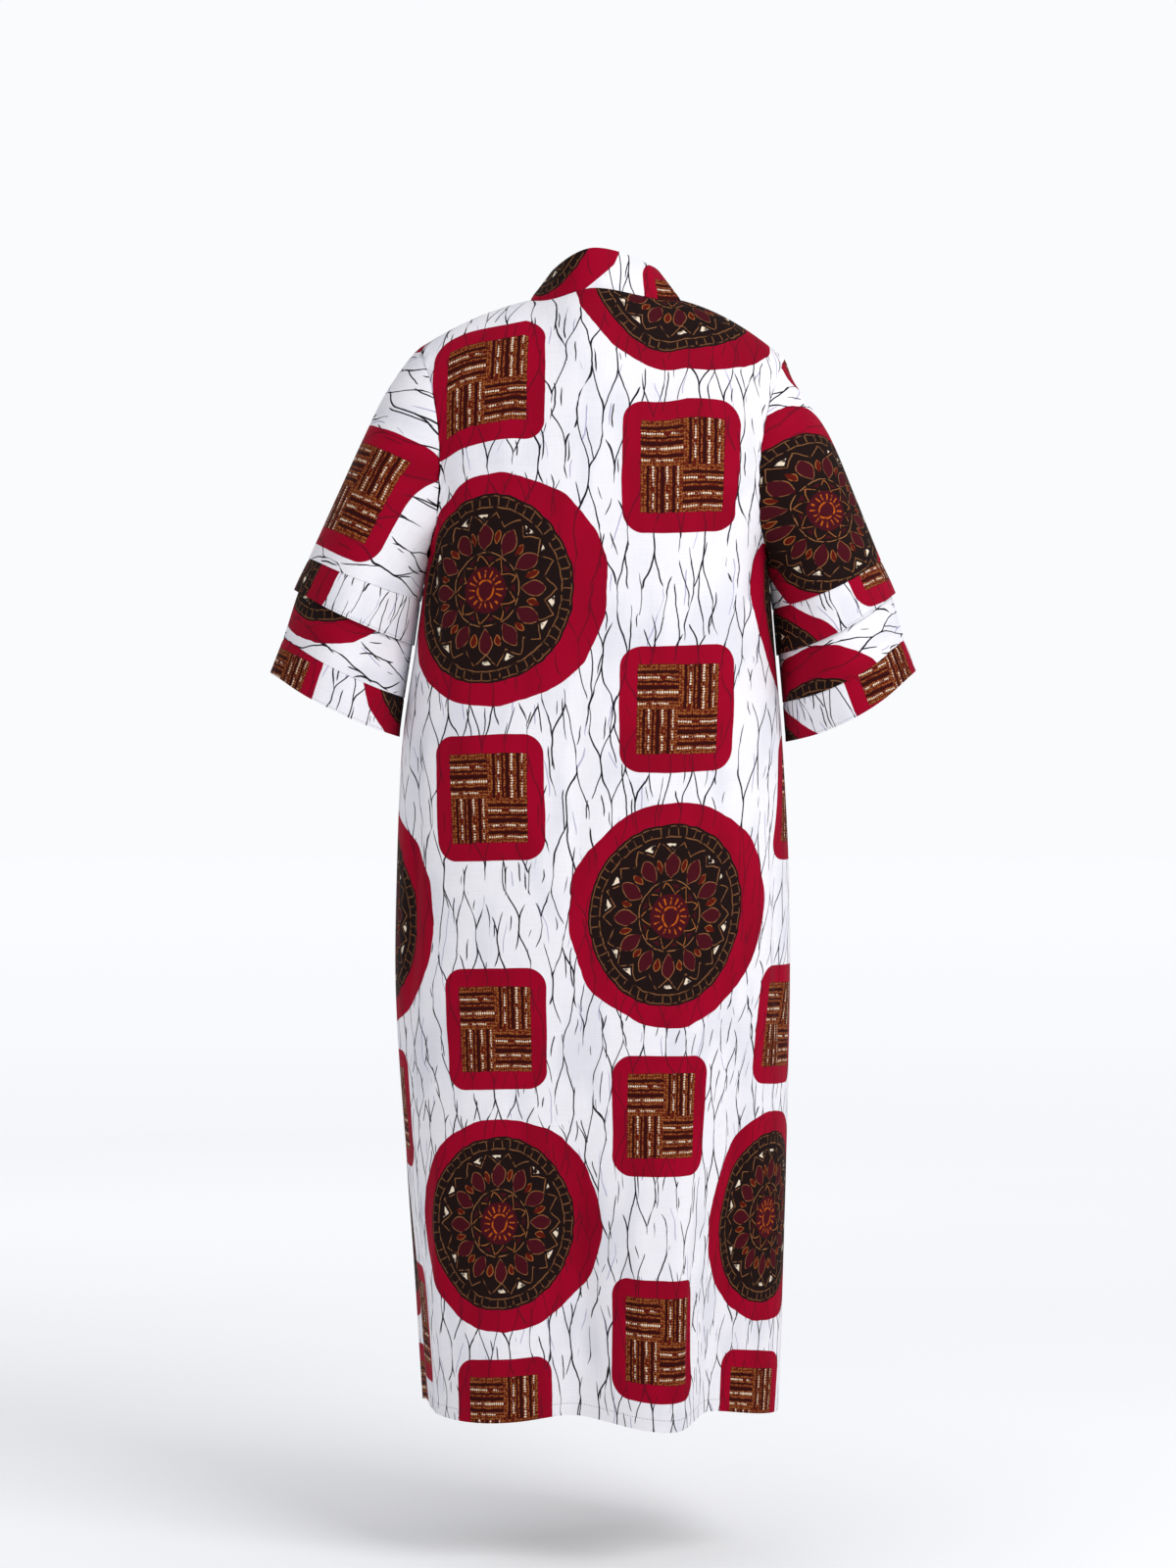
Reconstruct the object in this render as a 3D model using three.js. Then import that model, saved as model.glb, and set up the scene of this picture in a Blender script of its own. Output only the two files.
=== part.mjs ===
// A long open-fronted robe in printed cotton, shaped as it hangs on a standing wearer.
// The back and the two fronts meet at the side and shoulder seams. Each drop-shoulder sleeve has two
// tiers, and each tier ends in a band. A folded collar strip stands at the nape and runs on down both fronts.
// x points to the wearer's left, y to the wearer's back and z up, in millimetres.
// The origin is at the middle of the neck, level with the two points where shoulder seam meets collar.
import * as THREE from "three";

// Cloth, and the distance between two pieces where a seam joins them.
const CLOTH_WALL = 1.6;
const BAND_WALL = 2.4;
const SEAM_GAP = 0.3;

// Levels of the hem and of the lowest point of the armholes.
const HEM_Z = -1347;
const UNDERARM_Z = -330;

// Neck and shoulders. The robe sits a little to the wearer's right, where the shoulder is lower.
// A tip is where the shoulder seam meets the armhole, and crown is how far that seam bows upward.
const NECK_SHIFT = -13;
const NECK_HALF = 93;
const NECK_DEPTH = 62;
const NECK_PLAN_POWER = 1.15;
const NAPE_RISE = 52;
const SHOULDER = {
  left: { tipHalf: 214, tipZ: -58, crown: 7 },
  right: { tipHalf: 232, tipZ: -72, crown: 10 },
};

// The armhole seam is an upright oval that draws in towards the spine halfway up.
// ARMHOLE_RISE is the upright reach of the direction that the cloth's wall takes along that seam.
const ARMHOLE_DEPTH = 80;
const ARMHOLE_PINCH = 23;
const ARMHOLE_RISE = 132;

// Every level section is a soft rectangle: this power is 2 for an ellipse and more for a squarer one.
const SECTION_POWER = 2.5;

// Half widths and depths of the hanging cloth, from the hem to the underarm.
const BODY_SECTIONS = [
  { z: -1347, left: 205, right: 220, back: 148, front: 150 },
  { z: -1200, left: 216, right: 227, back: 152, front: 154 },
  { z: -1060, left: 229, right: 233, back: 158, front: 158 },
  { z: -850, left: 243, right: 238, back: 167, front: 162 },
  { z: -700, left: 242, right: 237, back: 163, front: 160 },
  { z: -540, left: 235, right: 229, back: 146, front: 153 },
  { z: -430, left: 220, right: 220, back: 136, front: 142 },
  { z: -330, left: 206, right: 212, back: 133, front: 136 },
];

// Soft folds of the hanging cloth. turn is 0 at the spine, 1 at the side seams and 2 at the front middle,
// plus to the wearer's left. A fold fades out at its top, is depth proud at the hem and drops the hem there.
const BODY_FOLDS = [
  { turn: 0.43, toSpine: 0.2, toSide: 0.24, depth: 14, drop: 3, top: -740 },
  { turn: 0.09, toSpine: 0.14, toSide: 0.14, depth: -18, drop: -6, top: -780 },
  { turn: -0.24, toSpine: 0.17, toSide: 0.09, depth: 24, drop: 10, top: -800 },
  { turn: -0.42, toSpine: 0.08, toSide: 0.15, depth: -14, drop: -7, top: -860 },
  { turn: -0.74, toSpine: 0.14, toSide: 0.13, depth: 9, drop: 2, top: -900 },
  { turn: 0.8, toSpine: 0.12, toSide: 0.12, depth: -8, drop: 4, top: -900 },
  { turn: 1.22, toSpine: 0.1, toSide: 0.13, depth: 14, drop: 5, top: -640 },
  { turn: 1.47, toSpine: 0.11, toSide: 0.1, depth: -13, drop: -4, top: -560 },
  { turn: -1.18, toSpine: 0.12, toSide: 0.1, depth: -11, drop: -3, top: -700 },
  { turn: -1.44, toSpine: 0.1, toSide: 0.12, depth: 15, drop: 6, top: -600 },
];

// Front opening and the collar strip.
const FRONT_EDGE_HALF = 88;
const STRIP_WIDTH = 50;
const NAPE_LEAN = 8;
const NECK_SIDE_LEAN = 37;

// Sleeves, from the armhole (at 0) to the lower hem (at 1). outX and outZ trace the outer fold, and inZ the
// underarm fold, which hangs clear of the robe's side. half is the half depth, front to back.
const SLEEVE_STATIONS = {
  left: [
    { at: 0, outX: 214, outZ: -58, inZ: -330, clear: 0, half: 80, pinch: 23 },
    { at: 0.09, outX: 236, outZ: -83, inZ: -335, clear: 0.6, half: 83, pinch: 13 },
    { at: 0.18, outX: 258, outZ: -116, inZ: -339, clear: 0.9, half: 85, pinch: 7 },
    { at: 0.28, outX: 279, outZ: -160, inZ: -343, clear: 1.1, half: 87, pinch: 2 },
    { at: 0.48, outX: 315, outZ: -239, inZ: -353, clear: 1.4, half: 90, pinch: 0 },
    { at: 0.69, outX: 350, outZ: -316, inZ: -368, clear: 1.8, half: 93, pinch: 0 },
    { at: 0.79, outX: 368, outZ: -354, inZ: -422, clear: 2, half: 95, pinch: 0 },
    { at: 0.9, outX: 385, outZ: -406, inZ: -481, clear: 2, half: 97, pinch: 0 },
    { at: 1, outX: 403, outZ: -453, inZ: -534, clear: 2, half: 98, pinch: 0 },
  ],
  right: [
    { at: 0, outX: 232, outZ: -72, inZ: -330, clear: 0, half: 80, pinch: 23 },
    { at: 0.09, outX: 244, outZ: -98, inZ: -336, clear: 0.6, half: 83, pinch: 13 },
    { at: 0.18, outX: 262, outZ: -126, inZ: -341, clear: 0.9, half: 85, pinch: 7 },
    { at: 0.28, outX: 287, outZ: -166, inZ: -346, clear: 1.1, half: 87, pinch: 2 },
    { at: 0.48, outX: 319, outZ: -242, inZ: -358, clear: 1.4, half: 90, pinch: 0 },
    { at: 0.69, outX: 350, outZ: -318, inZ: -378, clear: 1.8, half: 93, pinch: 0 },
    { at: 0.79, outX: 368, outZ: -358, inZ: -434, clear: 2, half: 95, pinch: 0 },
    { at: 0.9, outX: 383, outZ: -408, inZ: -487, clear: 2, half: 97, pinch: 0 },
    { at: 1, outX: 399, outZ: -450, inZ: -540, clear: 2, half: 98, pinch: 0 },
  ],
};
// How far a sleeve's front and back faces hang below its two folds at the lower hem.
const FACE_DROP = { left: 7, right: 15 };
const UPPER_SEAM = 0.69;
const UPPER_HEM = 0.79;
const LOWER_SEAM = 0.91;
const LOWER_HEM = 1;
const TIER_STEP = 6;

// Soft waves round a sleeve. turn is 0 at the underarm fold, 1 at the outer fold, minus to the front.
const SLEEVE_WAVES = [
  { turn: 0.52, width: 0.16, depth: 5, top: 0.35 },
  { turn: 0.78, width: 0.12, depth: -5, top: 0.3 },
  { turn: 0.3, width: 0.1, depth: -4, top: 0.2 },
  { turn: -0.45, width: 0.15, depth: 5, top: 0.3 },
  { turn: -0.72, width: 0.13, depth: -6, top: 0.35 },
];

// Mesh density: panels across and down, and around and along a sleeve.
const NECK_COLUMNS = 12;
const SHOULDER_COLUMNS = 10;
const FRONT_COLUMNS = 12;
const HANGING_ROWS = 18;
const ARMHOLE_ROWS = 14;
const STRIP_COLUMNS = 3;
const TIER_ROWS = { upper: 9, upperBand: 2, lower: 5, lowerBand: 2 };

// How much of each half of the back's top edge is neck seam, counted in mesh columns.
const NECK_SHARE = NECK_COLUMNS / (NECK_COLUMNS + 2 * SHOULDER_COLUMNS);

// How far inside the robe its inner reference points lie, behind or before and below a surface.
const INNER_STEP = 30;
const INNER_DROP = 20;

const COTTON_WHITE = 0xe9eaf2;
const COTTON_ROUGHNESS = 0.82;

const BACK = 1;
const FRONT = -1;
const SIGN = { left: 1, right: -1 };
const { lerp, clamp, degToRad } = THREE.MathUtils;

// Reads one column of a table as a smooth curve along another column. With levelEnds the curve has no
// slope at the table's two ends.
function curveOf(table, along, column, levelEnds = false) {
  const rows = [...table].sort((a, b) => a[along] - b[along]);
  const slopeAt = (i) => {
    if (levelEnds && (i === 0 || i === rows.length - 1)) return 0;
    const before = rows[Math.max(i - 1, 0)];
    const after = rows[Math.min(i + 1, rows.length - 1)];
    return (after[column] - before[column]) / (after[along] - before[along]);
  };
  return (where) => {
    const place = clamp(where, rows[0][along], rows[rows.length - 1][along]);
    let i = rows.findIndex((row) => row[along] >= place);
    i = Math.max(i, 1);
    const span = rows[i][along] - rows[i - 1][along];
    const t = (place - rows[i - 1][along]) / span;
    const rise = rows[i][column] - rows[i - 1][column];
    const leaving = slopeAt(i - 1) * span;
    const arriving = slopeAt(i) * span;
    return (
      rows[i - 1][column] +
      t * leaving +
      t * t * (3 * rise - 2 * leaving - arriving) +
      t * t * t * (leaving + arriving - 2 * rise)
    );
  };
}

const bodyHalf = {
  left: curveOf(BODY_SECTIONS, "z", "left"),
  right: curveOf(BODY_SECTIONS, "z", "right"),
};
const bodyDepth = {
  [BACK]: curveOf(BODY_SECTIONS, "z", "back", true),
  [FRONT]: curveOf(BODY_SECTIONS, "z", "front", true),
};

const smoothStep = (t) => t * t * (3 - 2 * t);
const neckHalf = (side) => NECK_HALF + SIGN[side] * NECK_SHIFT;

// Height of the shoulder line at a distance from the robe's middle plane. It rises towards the neck.
function ridgeZ(side, x) {
  const { tipHalf, tipZ, crown } = SHOULDER[side];
  const neck = neckHalf(side);
  const length = tipHalf - neck;
  if (x >= neck) {
    const t = (x - neck) / length;
    return tipZ * t + crown * 4 * t * (1 - t);
  }
  const t = x / neck;
  const slopeAtNeck = ((tipZ + crown * 4) / length) * neck;
  return NAPE_RISE * (1 + t * t * (2 * t - 3)) + slopeAtNeck * t * t * (t - 1);
}

// How far a section has drawn in towards the shoulder line: 1 at the underarm, 0 on the line.
const drawnIn = (height) => Math.sqrt(Math.max(1 - height * height, 0));
const sectionY = (x, half, depth) =>
  depth * Math.max(1 - Math.abs(x / half) ** SECTION_POWER, 0) ** (1 / SECTION_POWER);

// Outward push and drop of all the folds at a place round the hanging cloth.
function foldsAt(turn, z) {
  const sum = { push: 0, drop: 0 };
  for (const fold of BODY_FOLDS) {
    const away = (turn - fold.turn) * Math.sign(fold.turn);
    const width = away < 0 ? fold.toSpine : fold.toSide;
    const down = clamp((fold.top - z) / (fold.top - HEM_Z), 0, 1);
    const share = Math.exp(-((away / width) ** 2)) * smoothStep(down);
    sum.push += fold.depth * share;
    sum.drop += fold.drop * share * down;
  }
  return sum;
}

// One place on the back or a front. across runs from the middle (or the front edge) to the side,
// and up from 0 at the hem over 1 at the underarm to 2 on the shoulder line or the neck seam.
function bodyPoint(facing, side, across, up) {
  const { tipHalf } = SHOULDER[side];
  const sectionShare = (f) => Math.sin((f * Math.PI) / 2) ** (2 / SECTION_POWER);
  const underarmHalf = bodyHalf[side](UNDERARM_Z);
  const underarmDepth = bodyDepth[facing](UNDERARM_Z);
  let x, y, z;
  let neckAngle = Math.PI / 2;
  let topX;
  if (facing === FRONT) {
    topX = lerp(neckHalf(side), tipHalf, across);
  } else if (across < NECK_SHARE) {
    neckAngle = (across / NECK_SHARE) * (Math.PI / 2);
    topX = neckHalf(side) * Math.sin(neckAngle);
  } else {
    const t = (across - NECK_SHARE) / (1 - NECK_SHARE);
    topX = lerp(neckHalf(side), tipHalf, t);
  }
  const hangingX = (half) => {
    if (facing === BACK) return half * sectionShare(across);
    const edge = (2 / Math.PI) * Math.asin((FRONT_EDGE_HALF / half) ** (SECTION_POWER / 2));
    return half * sectionShare(lerp(edge, 1, across));
  };
  if (up <= 1) {
    z = lerp(HEM_Z, UNDERARM_Z, up);
    const half = bodyHalf[side](z);
    const depth = bodyDepth[facing](z);
    x = hangingX(half);
    y = sectionY(x, half, depth);
    const turn = Math.atan2(x / half, (facing * y) / depth) / (Math.PI / 2);
    const { push, drop } = foldsAt(SIGN[side] * turn, z);
    const out = Math.hypot(x / half, y / depth);
    x += (push * x) / half / out;
    y += (push * y) / depth / out;
    z -= drop;
  } else {
    const climb = Math.sin(((up - 1) * Math.PI) / 2);
    const edgeHeight = climb * climb;
    const swing = Math.sin((up - 1) * Math.PI);
    const neckY = NECK_DEPTH * Math.cos(neckAngle) ** NECK_PLAN_POWER;
    const height = edgeHeight * drawnIn(neckY / underarmDepth);
    const edgeX =
      lerp(underarmHalf, tipHalf, edgeHeight) - ARMHOLE_PINCH * swing * swing;
    const share = (ARMHOLE_DEPTH * 2 * climb) / (underarmDepth * Math.sqrt(1 + edgeHeight));
    const half = edgeX / (1 - share ** SECTION_POWER) ** (1 / SECTION_POWER);
    const hangingShare = hangingX(underarmHalf) / underarmHalf;
    x = edgeX * lerp(hangingShare, topX / tipHalf, edgeHeight ** 1.5);
    y = sectionY(x, half, underarmDepth * drawnIn(height));
    z = lerp(UNDERARM_Z, ridgeZ(side, topX), height);
  }
  return new THREE.Vector3(SIGN[side] * x, facing * (y + SEAM_GAP / 2), z);
}

const sleeveCurves = (side) =>
  Object.fromEntries(
    ["outX", "outZ", "inZ", "clear", "half", "pinch"].map((column) => [
      column,
      curveOf(SLEEVE_STATIONS[side], "at", column),
    ]),
  );
const sleeveCurve = { left: sleeveCurves("left"), right: sleeveCurves("right") };

// One place on the upper sleeve's outside, or on the same surface carried on down to the lower hem.
// round runs once about the sleeve: 0 at the underarm fold, 0.5 at the outer fold, 1 back at the start.
function sleevePoint(side, along, round) {
  const backHalf = round <= 0.5;
  const turn = backHalf ? round * 2 : 2 - round * 2;
  const height = (1 - Math.cos(Math.PI * turn)) / 2;
  const swing = Math.sin(Math.PI * turn);
  const curve = sleeveCurve[side];
  const inZ = curve.inZ(along);
  const inX = bodyHalf[side](inZ) + curve.clear(along);
  let x = lerp(inX, curve.outX(along), height) - curve.pinch(along) * swing * swing;
  let y = curve.half(along) * swing * (backHalf ? 1 : -1);
  const z = lerp(inZ, curve.outZ(along), height) - FACE_DROP[side] * along * swing * swing;
  const signed = backHalf ? turn : -turn;
  for (const wave of SLEEVE_WAVES) {
    const away = (signed - wave.turn) / wave.width;
    const down = clamp((along - wave.top) / (1 - wave.top), 0, 1);
    const push = wave.depth * Math.exp(-away * away) * smoothStep(down);
    x -= push * Math.cos(Math.PI * turn) * 0.5;
    y += push * swing * (backHalf ? 1 : -1);
  }
  return new THREE.Vector3(SIGN[side] * (x + SEAM_GAP), y, z);
}

const sleeveAxis = (side, along) =>
  sleevePoint(side, along, 0).add(sleevePoint(side, along, 0.5)).multiplyScalar(0.5);

// One place on a front band. up is 0 at the hem, 1 at the underarm level and 2 at the side of the neck,
// and across runs from the seam (0) to the free edge (1). It lies flat below and leans in at the neck.
function frontBandPoint(side, up, across) {
  const seam = bodyPoint(FRONT, side, 0, up);
  const reach = SEAM_GAP + across * STRIP_WIDTH;
  const climb = up <= 1 ? 0 : smoothStep((1 - Math.cos(Math.PI * (up - 1))) / 2);
  const lean = degToRad(lerp(90, NECK_SIDE_LEAN, climb));
  const level = clamp(seam.z, HEM_Z, UNDERARM_Z);
  const start = Math.abs(seam.x);
  const half = bodyHalf[side](level);
  const depth = bodyDepth[FRONT](level);
  const forward = sectionY(start - reach, half, depth) - sectionY(start, half, depth);
  const direction = new THREE.Vector3(-SIGN[side] * Math.sin(lean), 0, Math.cos(lean));
  return seam
    .addScaledVector(direction, reach)
    .add(new THREE.Vector3(0, -forward * (1 - climb), 0));
}

// One place on the collar. round is 0 at the nape and 1 at the side of the neck.
function collarPoint(side, round, across) {
  const seam = bodyPoint(BACK, side, round * NECK_SHARE, 2);
  const reach = SEAM_GAP + across * STRIP_WIDTH;
  const turn = (round * Math.PI) / 2;
  const lean = degToRad(lerp(NAPE_LEAN, NECK_SIDE_LEAN, Math.sin(turn) ** 2));
  const direction = new THREE.Vector3(
    -SIGN[side] * Math.sin(turn) * Math.sin(lean),
    -Math.cos(turn) * Math.sin(lean),
    Math.cos(lean),
  );
  return seam.addScaledVector(direction, reach);
}

// The outward direction of a surface at a place, away from a point inside the garment.
function outward(surface, u, v, inside) {
  const nudge = 1e-4;
  const du = surface(Math.min(u + nudge, surface.uMax), v).sub(
    surface(Math.max(u - nudge, surface.uMin), v),
  );
  const dv = surface(u, Math.min(v + nudge, surface.vMax)).sub(
    surface(u, Math.max(v - nudge, surface.vMin)),
  );
  const normal = du.cross(dv).normalize();
  const away = surface(u, v).sub(inside(u, v));
  return normal.dot(away) < 0 ? normal.negate() : normal;
}

// A cloth wall: its outer face is a grid of points on a surface, its inner face the same points moved in.
// Where a rim is given, an edge of the wall takes that direction from the piece that it is sewn to.
function clothWall({ surface, us, vs, inside, wall, tube, rim, inset }) {
  const outer = [];
  const inner = [];
  for (const v of vs) {
    for (const u of us) {
      const normal = (rim && rim(u, v)) || outward(surface, u, v, inside);
      const step = inset ? inset(u, v) : 0;
      const point = surface(u, v);
      outer.push(point.clone().addScaledVector(normal, -step));
      inner.push(point.addScaledVector(normal, -step - wall));
    }
  }
  return stitchedFaces(outer, inner, us.length, vs.length, tube);
}

// Joins the outer and inner grids of a wall along their edges into one closed body.
function stitchedFaces(outer, inner, columns, rows, tube) {
  const points = [...outer, ...inner];
  const faces = [];
  const quad = (a, b, c, d) => faces.push(a, b, c, a, c, d);
  const spans = tube ? columns : columns - 1;
  const at = (i, j) => j * columns + (i % columns);
  const within = outer.length;
  for (let j = 0; j < rows - 1; j += 1) {
    for (let i = 0; i < spans; i += 1) {
      const [a, b, c, d] = [at(i, j), at(i + 1, j), at(i + 1, j + 1), at(i, j + 1)];
      quad(a, b, c, d);
      quad(within + d, within + c, within + b, within + a);
    }
  }
  for (let i = 0; i < spans; i += 1) {
    const [a, b] = [at(i, 0), at(i + 1, 0)];
    const [c, d] = [at(i, rows - 1), at(i + 1, rows - 1)];
    quad(within + a, within + b, b, a);
    quad(c, d, within + d, within + c);
  }
  if (!tube) {
    for (let j = 0; j < rows - 1; j += 1) {
      const [a, b] = [at(0, j), at(0, j + 1)];
      const [c, d] = [at(columns - 1, j), at(columns - 1, j + 1)];
      quad(a, b, within + b, within + a);
      quad(within + c, within + d, d, c);
    }
  }
  return facingOut(points, faces);
}

// The geometry of a closed body, with its faces turned outward.
function facingOut(points, faces) {
  let volume = 0;
  for (let k = 0; k < faces.length; k += 3) {
    const [a, b, c] = [points[faces[k]], points[faces[k + 1]], points[faces[k + 2]]];
    volume += a.dot(b.clone().cross(c));
  }
  if (volume < 0) faces.reverse();
  const geometry = new THREE.BufferGeometry().setFromPoints(points);
  geometry.setIndex(faces);
  geometry.computeVertexNormals();
  return geometry;
}

const evenly = (from, to, spans) =>
  Array.from({ length: spans + 1 }, (_, i) => lerp(from, to, i / spans));
const bounded = (surface, uMin, uMax, vMin, vMax) =>
  Object.assign(surface, { uMin, uMax, vMin, vMax });
const panelRows = [...evenly(0, 1, HANGING_ROWS), ...evenly(1, 2, ARMHOLE_ROWS).slice(1)];

// The back and the fronts are whole panels of cloth. As solids each one is split at the underarm, so that
// their collision follows the hollow robe: a lower part that hangs, and an upper part on the shoulders.
const panelParts = {
  lower: evenly(0, 1 - SEAM_GAP / (UNDERARM_Z - HEM_Z), HANGING_ROWS),
  upper: evenly(1, 2, ARMHOLE_ROWS),
};

const robe = new THREE.Group();

function addPiece(name, geometry) {
  const cotton = new THREE.MeshStandardMaterial({
    color: COTTON_WHITE,
    roughness: COTTON_ROUGHNESS,
    metalness: 0,
  });
  const mesh = new THREE.Mesh(geometry, cotton);
  mesh.name = name;
  robe.add(mesh);
}

// The back's surface, from the right side (-1) over the spine (0) to the left side (1).
const backSurface = bounded(
  (u, v) => bodyPoint(BACK, u < 0 ? "right" : "left", Math.abs(u), v),
  -1, 1, 0, 2,
);
const frontSurface = {
  left: bounded((u, v) => bodyPoint(FRONT, "left", u, v), 0, 1, 0, 2),
  right: bounded((u, v) => bodyPoint(FRONT, "right", u, v), 0, 1, 0, 2),
};
// Points inside the robe, which tell the outside of a surface from its inside.
const insideBack = (u, v) =>
  new THREE.Vector3(0, -INNER_STEP, Math.min(backSurface(u, v).z, -INNER_DROP));
const insideFront = (side) => (u, v) =>
  new THREE.Vector3(0, INNER_STEP, Math.min(frontSurface[side](u, v).z, -INNER_DROP));
const backNormal = (u, v) => outward(backSurface, u, v, insideBack);
const frontNormal = (side, u, v) => outward(frontSurface[side], u, v, insideFront(side));

function addBack() {
  const us = evenly(-1, 1, (NECK_COLUMNS / 2 + SHOULDER_COLUMNS) * 2);
  for (const [part, vs] of Object.entries(panelParts)) {
    const cut = { surface: backSurface, us, vs, inside: insideBack, wall: CLOTH_WALL };
    addPiece(`back_${part}`, clothWall(cut));
  }
}

function addFront(side) {
  const us = evenly(0, 1, FRONT_COLUMNS);
  const surface = frontSurface[side];
  const inside = insideFront(side);
  for (const [part, vs] of Object.entries(panelParts)) {
    addPiece(`front_${part}_${side}`, clothWall({ surface, us, vs, inside, wall: CLOTH_WALL }));
  }
}

function addFrontBand(side) {
  const surface = bounded((u, v) => frontBandPoint(side, v, u), 0, 1, 0, 2);
  const inside = (u, v) => new THREE.Vector3(0, INNER_STEP, surface(u, v).z - 2 * INNER_DROP);
  const rim = (u, v) => {
    if (u === 0) return frontNormal(side, 0, v);
    return v === 2 && outward(surface, u, v, inside).setY(0).normalize();
  };
  const us = evenly(0, 1, STRIP_COLUMNS);
  const wall = clothWall({ surface, us, vs: panelRows, inside, wall: BAND_WALL, rim });
  addPiece(`front_band_${side}`, wall);
}

// The collar runs from one side of the neck round the nape to the other.
function addCollar() {
  const surface = bounded(
    (u, v) => collarPoint(u < 0 ? "right" : "left", Math.abs(u), v),
    -1, 1, 0, 1,
  );
  const inside = (u, v) => new THREE.Vector3(NECK_SHIFT, -INNER_DROP, surface(u, v).z);
  const rim = (u, v) => {
    if (v === 0) return backNormal(u * NECK_SHARE, 2);
    return Math.abs(u) === 1 && outward(surface, u, v, inside).setY(0).normalize();
  };
  const us = evenly(-1, 1, NECK_COLUMNS);
  const vs = evenly(0, 1, STRIP_COLUMNS);
  addPiece("collar", clothWall({ surface, us, vs, inside, wall: BAND_WALL, rim }));
}

// At the armhole a sleeve's wall is as thick as the body's, measured level with the armhole's plane.
function armholeRim(round) {
  const turn = Math.PI * 2 * round;
  return new THREE.Vector3(0, Math.sin(turn) * ARMHOLE_DEPTH, -Math.cos(turn) * ARMHOLE_RISE)
    .normalize();
}

// A ring-shaped stretch of sleeve between two places along it.
function sleeveStretch(side, from, to, rows, inset) {
  const surface = bounded((u, v) => sleevePoint(side, v, u), 0, 1, 0, 1);
  const inside = (u, v) => sleeveAxis(side, v);
  const us = evenly(0, 1, ARMHOLE_ROWS * 2).slice(0, -1);
  const vs = evenly(from, to, rows);
  const rim = (u, v) => v === 0 && armholeRim(u);
  return clothWall({ surface, us, vs, inside, wall: CLOTH_WALL, tube: true, rim, inset });
}

function addSleeve(side) {
  const stations = SLEEVE_STATIONS[side];
  const length = Math.hypot(
    stations[stations.length - 1].outX - stations[0].outX,
    stations[stations.length - 1].outZ - stations[0].outZ,
  );
  const seam = SEAM_GAP / length;
  const tierInset = (round, along) => {
    const outerShare = (1 - Math.cos(Math.PI * 2 * round)) / 2;
    const opened = smoothStep(clamp((along - UPPER_SEAM) / (UPPER_HEM - UPPER_SEAM), 0, 1));
    return CLOTH_WALL + SEAM_GAP + (TIER_STEP - CLOTH_WALL) * opened * (0.1 + 0.9 * outerShare);
  };
  const upper = sleeveStretch(side, 0, UPPER_SEAM - seam, TIER_ROWS.upper);
  const upperBand = sleeveStretch(side, UPPER_SEAM, UPPER_HEM, TIER_ROWS.upperBand);
  const lower = sleeveStretch(side, UPPER_SEAM, LOWER_SEAM - seam, TIER_ROWS.lower, tierInset);
  const lowerBand = sleeveStretch(side, LOWER_SEAM, LOWER_HEM, TIER_ROWS.lowerBand, tierInset);
  addPiece(`sleeve_upper_${side}`, upper);
  addPiece(`sleeve_upper_band_${side}`, upperBand);
  addPiece(`sleeve_lower_${side}`, lower);
  addPiece(`sleeve_lower_band_${side}`, lowerBand);
}

addBack();
addCollar();
for (const side of ["left", "right"]) {
  addFront(side);
  addFrontBand(side);
  addSleeve(side);
}

export default robe;
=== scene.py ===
import math

import bpy
import numpy as np
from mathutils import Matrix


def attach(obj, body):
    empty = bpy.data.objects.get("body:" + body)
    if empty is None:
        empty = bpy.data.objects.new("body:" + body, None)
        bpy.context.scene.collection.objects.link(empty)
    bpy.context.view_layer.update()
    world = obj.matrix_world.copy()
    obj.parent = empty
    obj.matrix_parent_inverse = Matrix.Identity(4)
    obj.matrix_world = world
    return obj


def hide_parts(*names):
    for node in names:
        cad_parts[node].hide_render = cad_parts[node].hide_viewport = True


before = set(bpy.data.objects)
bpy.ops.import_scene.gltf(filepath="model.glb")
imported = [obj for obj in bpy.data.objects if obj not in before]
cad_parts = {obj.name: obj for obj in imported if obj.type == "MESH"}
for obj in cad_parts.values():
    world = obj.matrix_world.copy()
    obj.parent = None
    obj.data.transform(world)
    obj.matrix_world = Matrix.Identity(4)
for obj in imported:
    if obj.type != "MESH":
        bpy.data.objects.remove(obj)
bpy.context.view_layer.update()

# The studio. A level camera looks at the back of the robe from 4.5 m, at the height of its hips.
# The floor is pale and plain, and the light is soft and comes mostly from the upper right.
CAMERA_DISTANCE = 4.5
CAMERA_X = 0.0084
CAMERA_Z = -0.5916
LENS_MM = 84.4
FLOOR_Z = -1.525
FLOOR_HALF = 40.0
PAPER = (0.90, 0.906, 0.925, 1)
SKY = (0.955, 0.965, 0.985, 1)
SKY_SEEN = 1.0
SKY_LIGHT = 0.55
# How much the paper glows at distances from the robe. It rises to the sky's tone, so no horizon shows.
FLOOR_GLOW = [
    (0.0, 0.09), (0.5, 0.145), (1.0, 0.200), (1.6, 0.212), (2.4, 0.245),
    (3.4, 0.307), (4.3, 0.362), (5.6, 0.423), (9.0, 0.472), (20.0, 0.505),
]
GLOW_REACH = FLOOR_GLOW[-1][0]
LAMPS = [
    dict(name="key", x=-2.1, y=2.4, z=2.0, size=2.2, watts=96),
    dict(name="fill", x=2.6, y=3.2, z=0.6, size=2.6, watts=5),
    dict(name="front", x=0.9, y=-3.4, z=1.5, size=2.6, watts=18),
]

bpy.ops.object.camera_add(
    location=(CAMERA_X, CAMERA_DISTANCE, CAMERA_Z),
    rotation=(math.radians(90), 0, math.radians(180)),
)
camera = bpy.context.object
camera.data.lens = LENS_MM
camera.data.sensor_width = 36
camera.data.clip_end = 200
bpy.context.scene.camera = camera
bpy.context.scene.view_settings.view_transform = "Standard"

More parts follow.
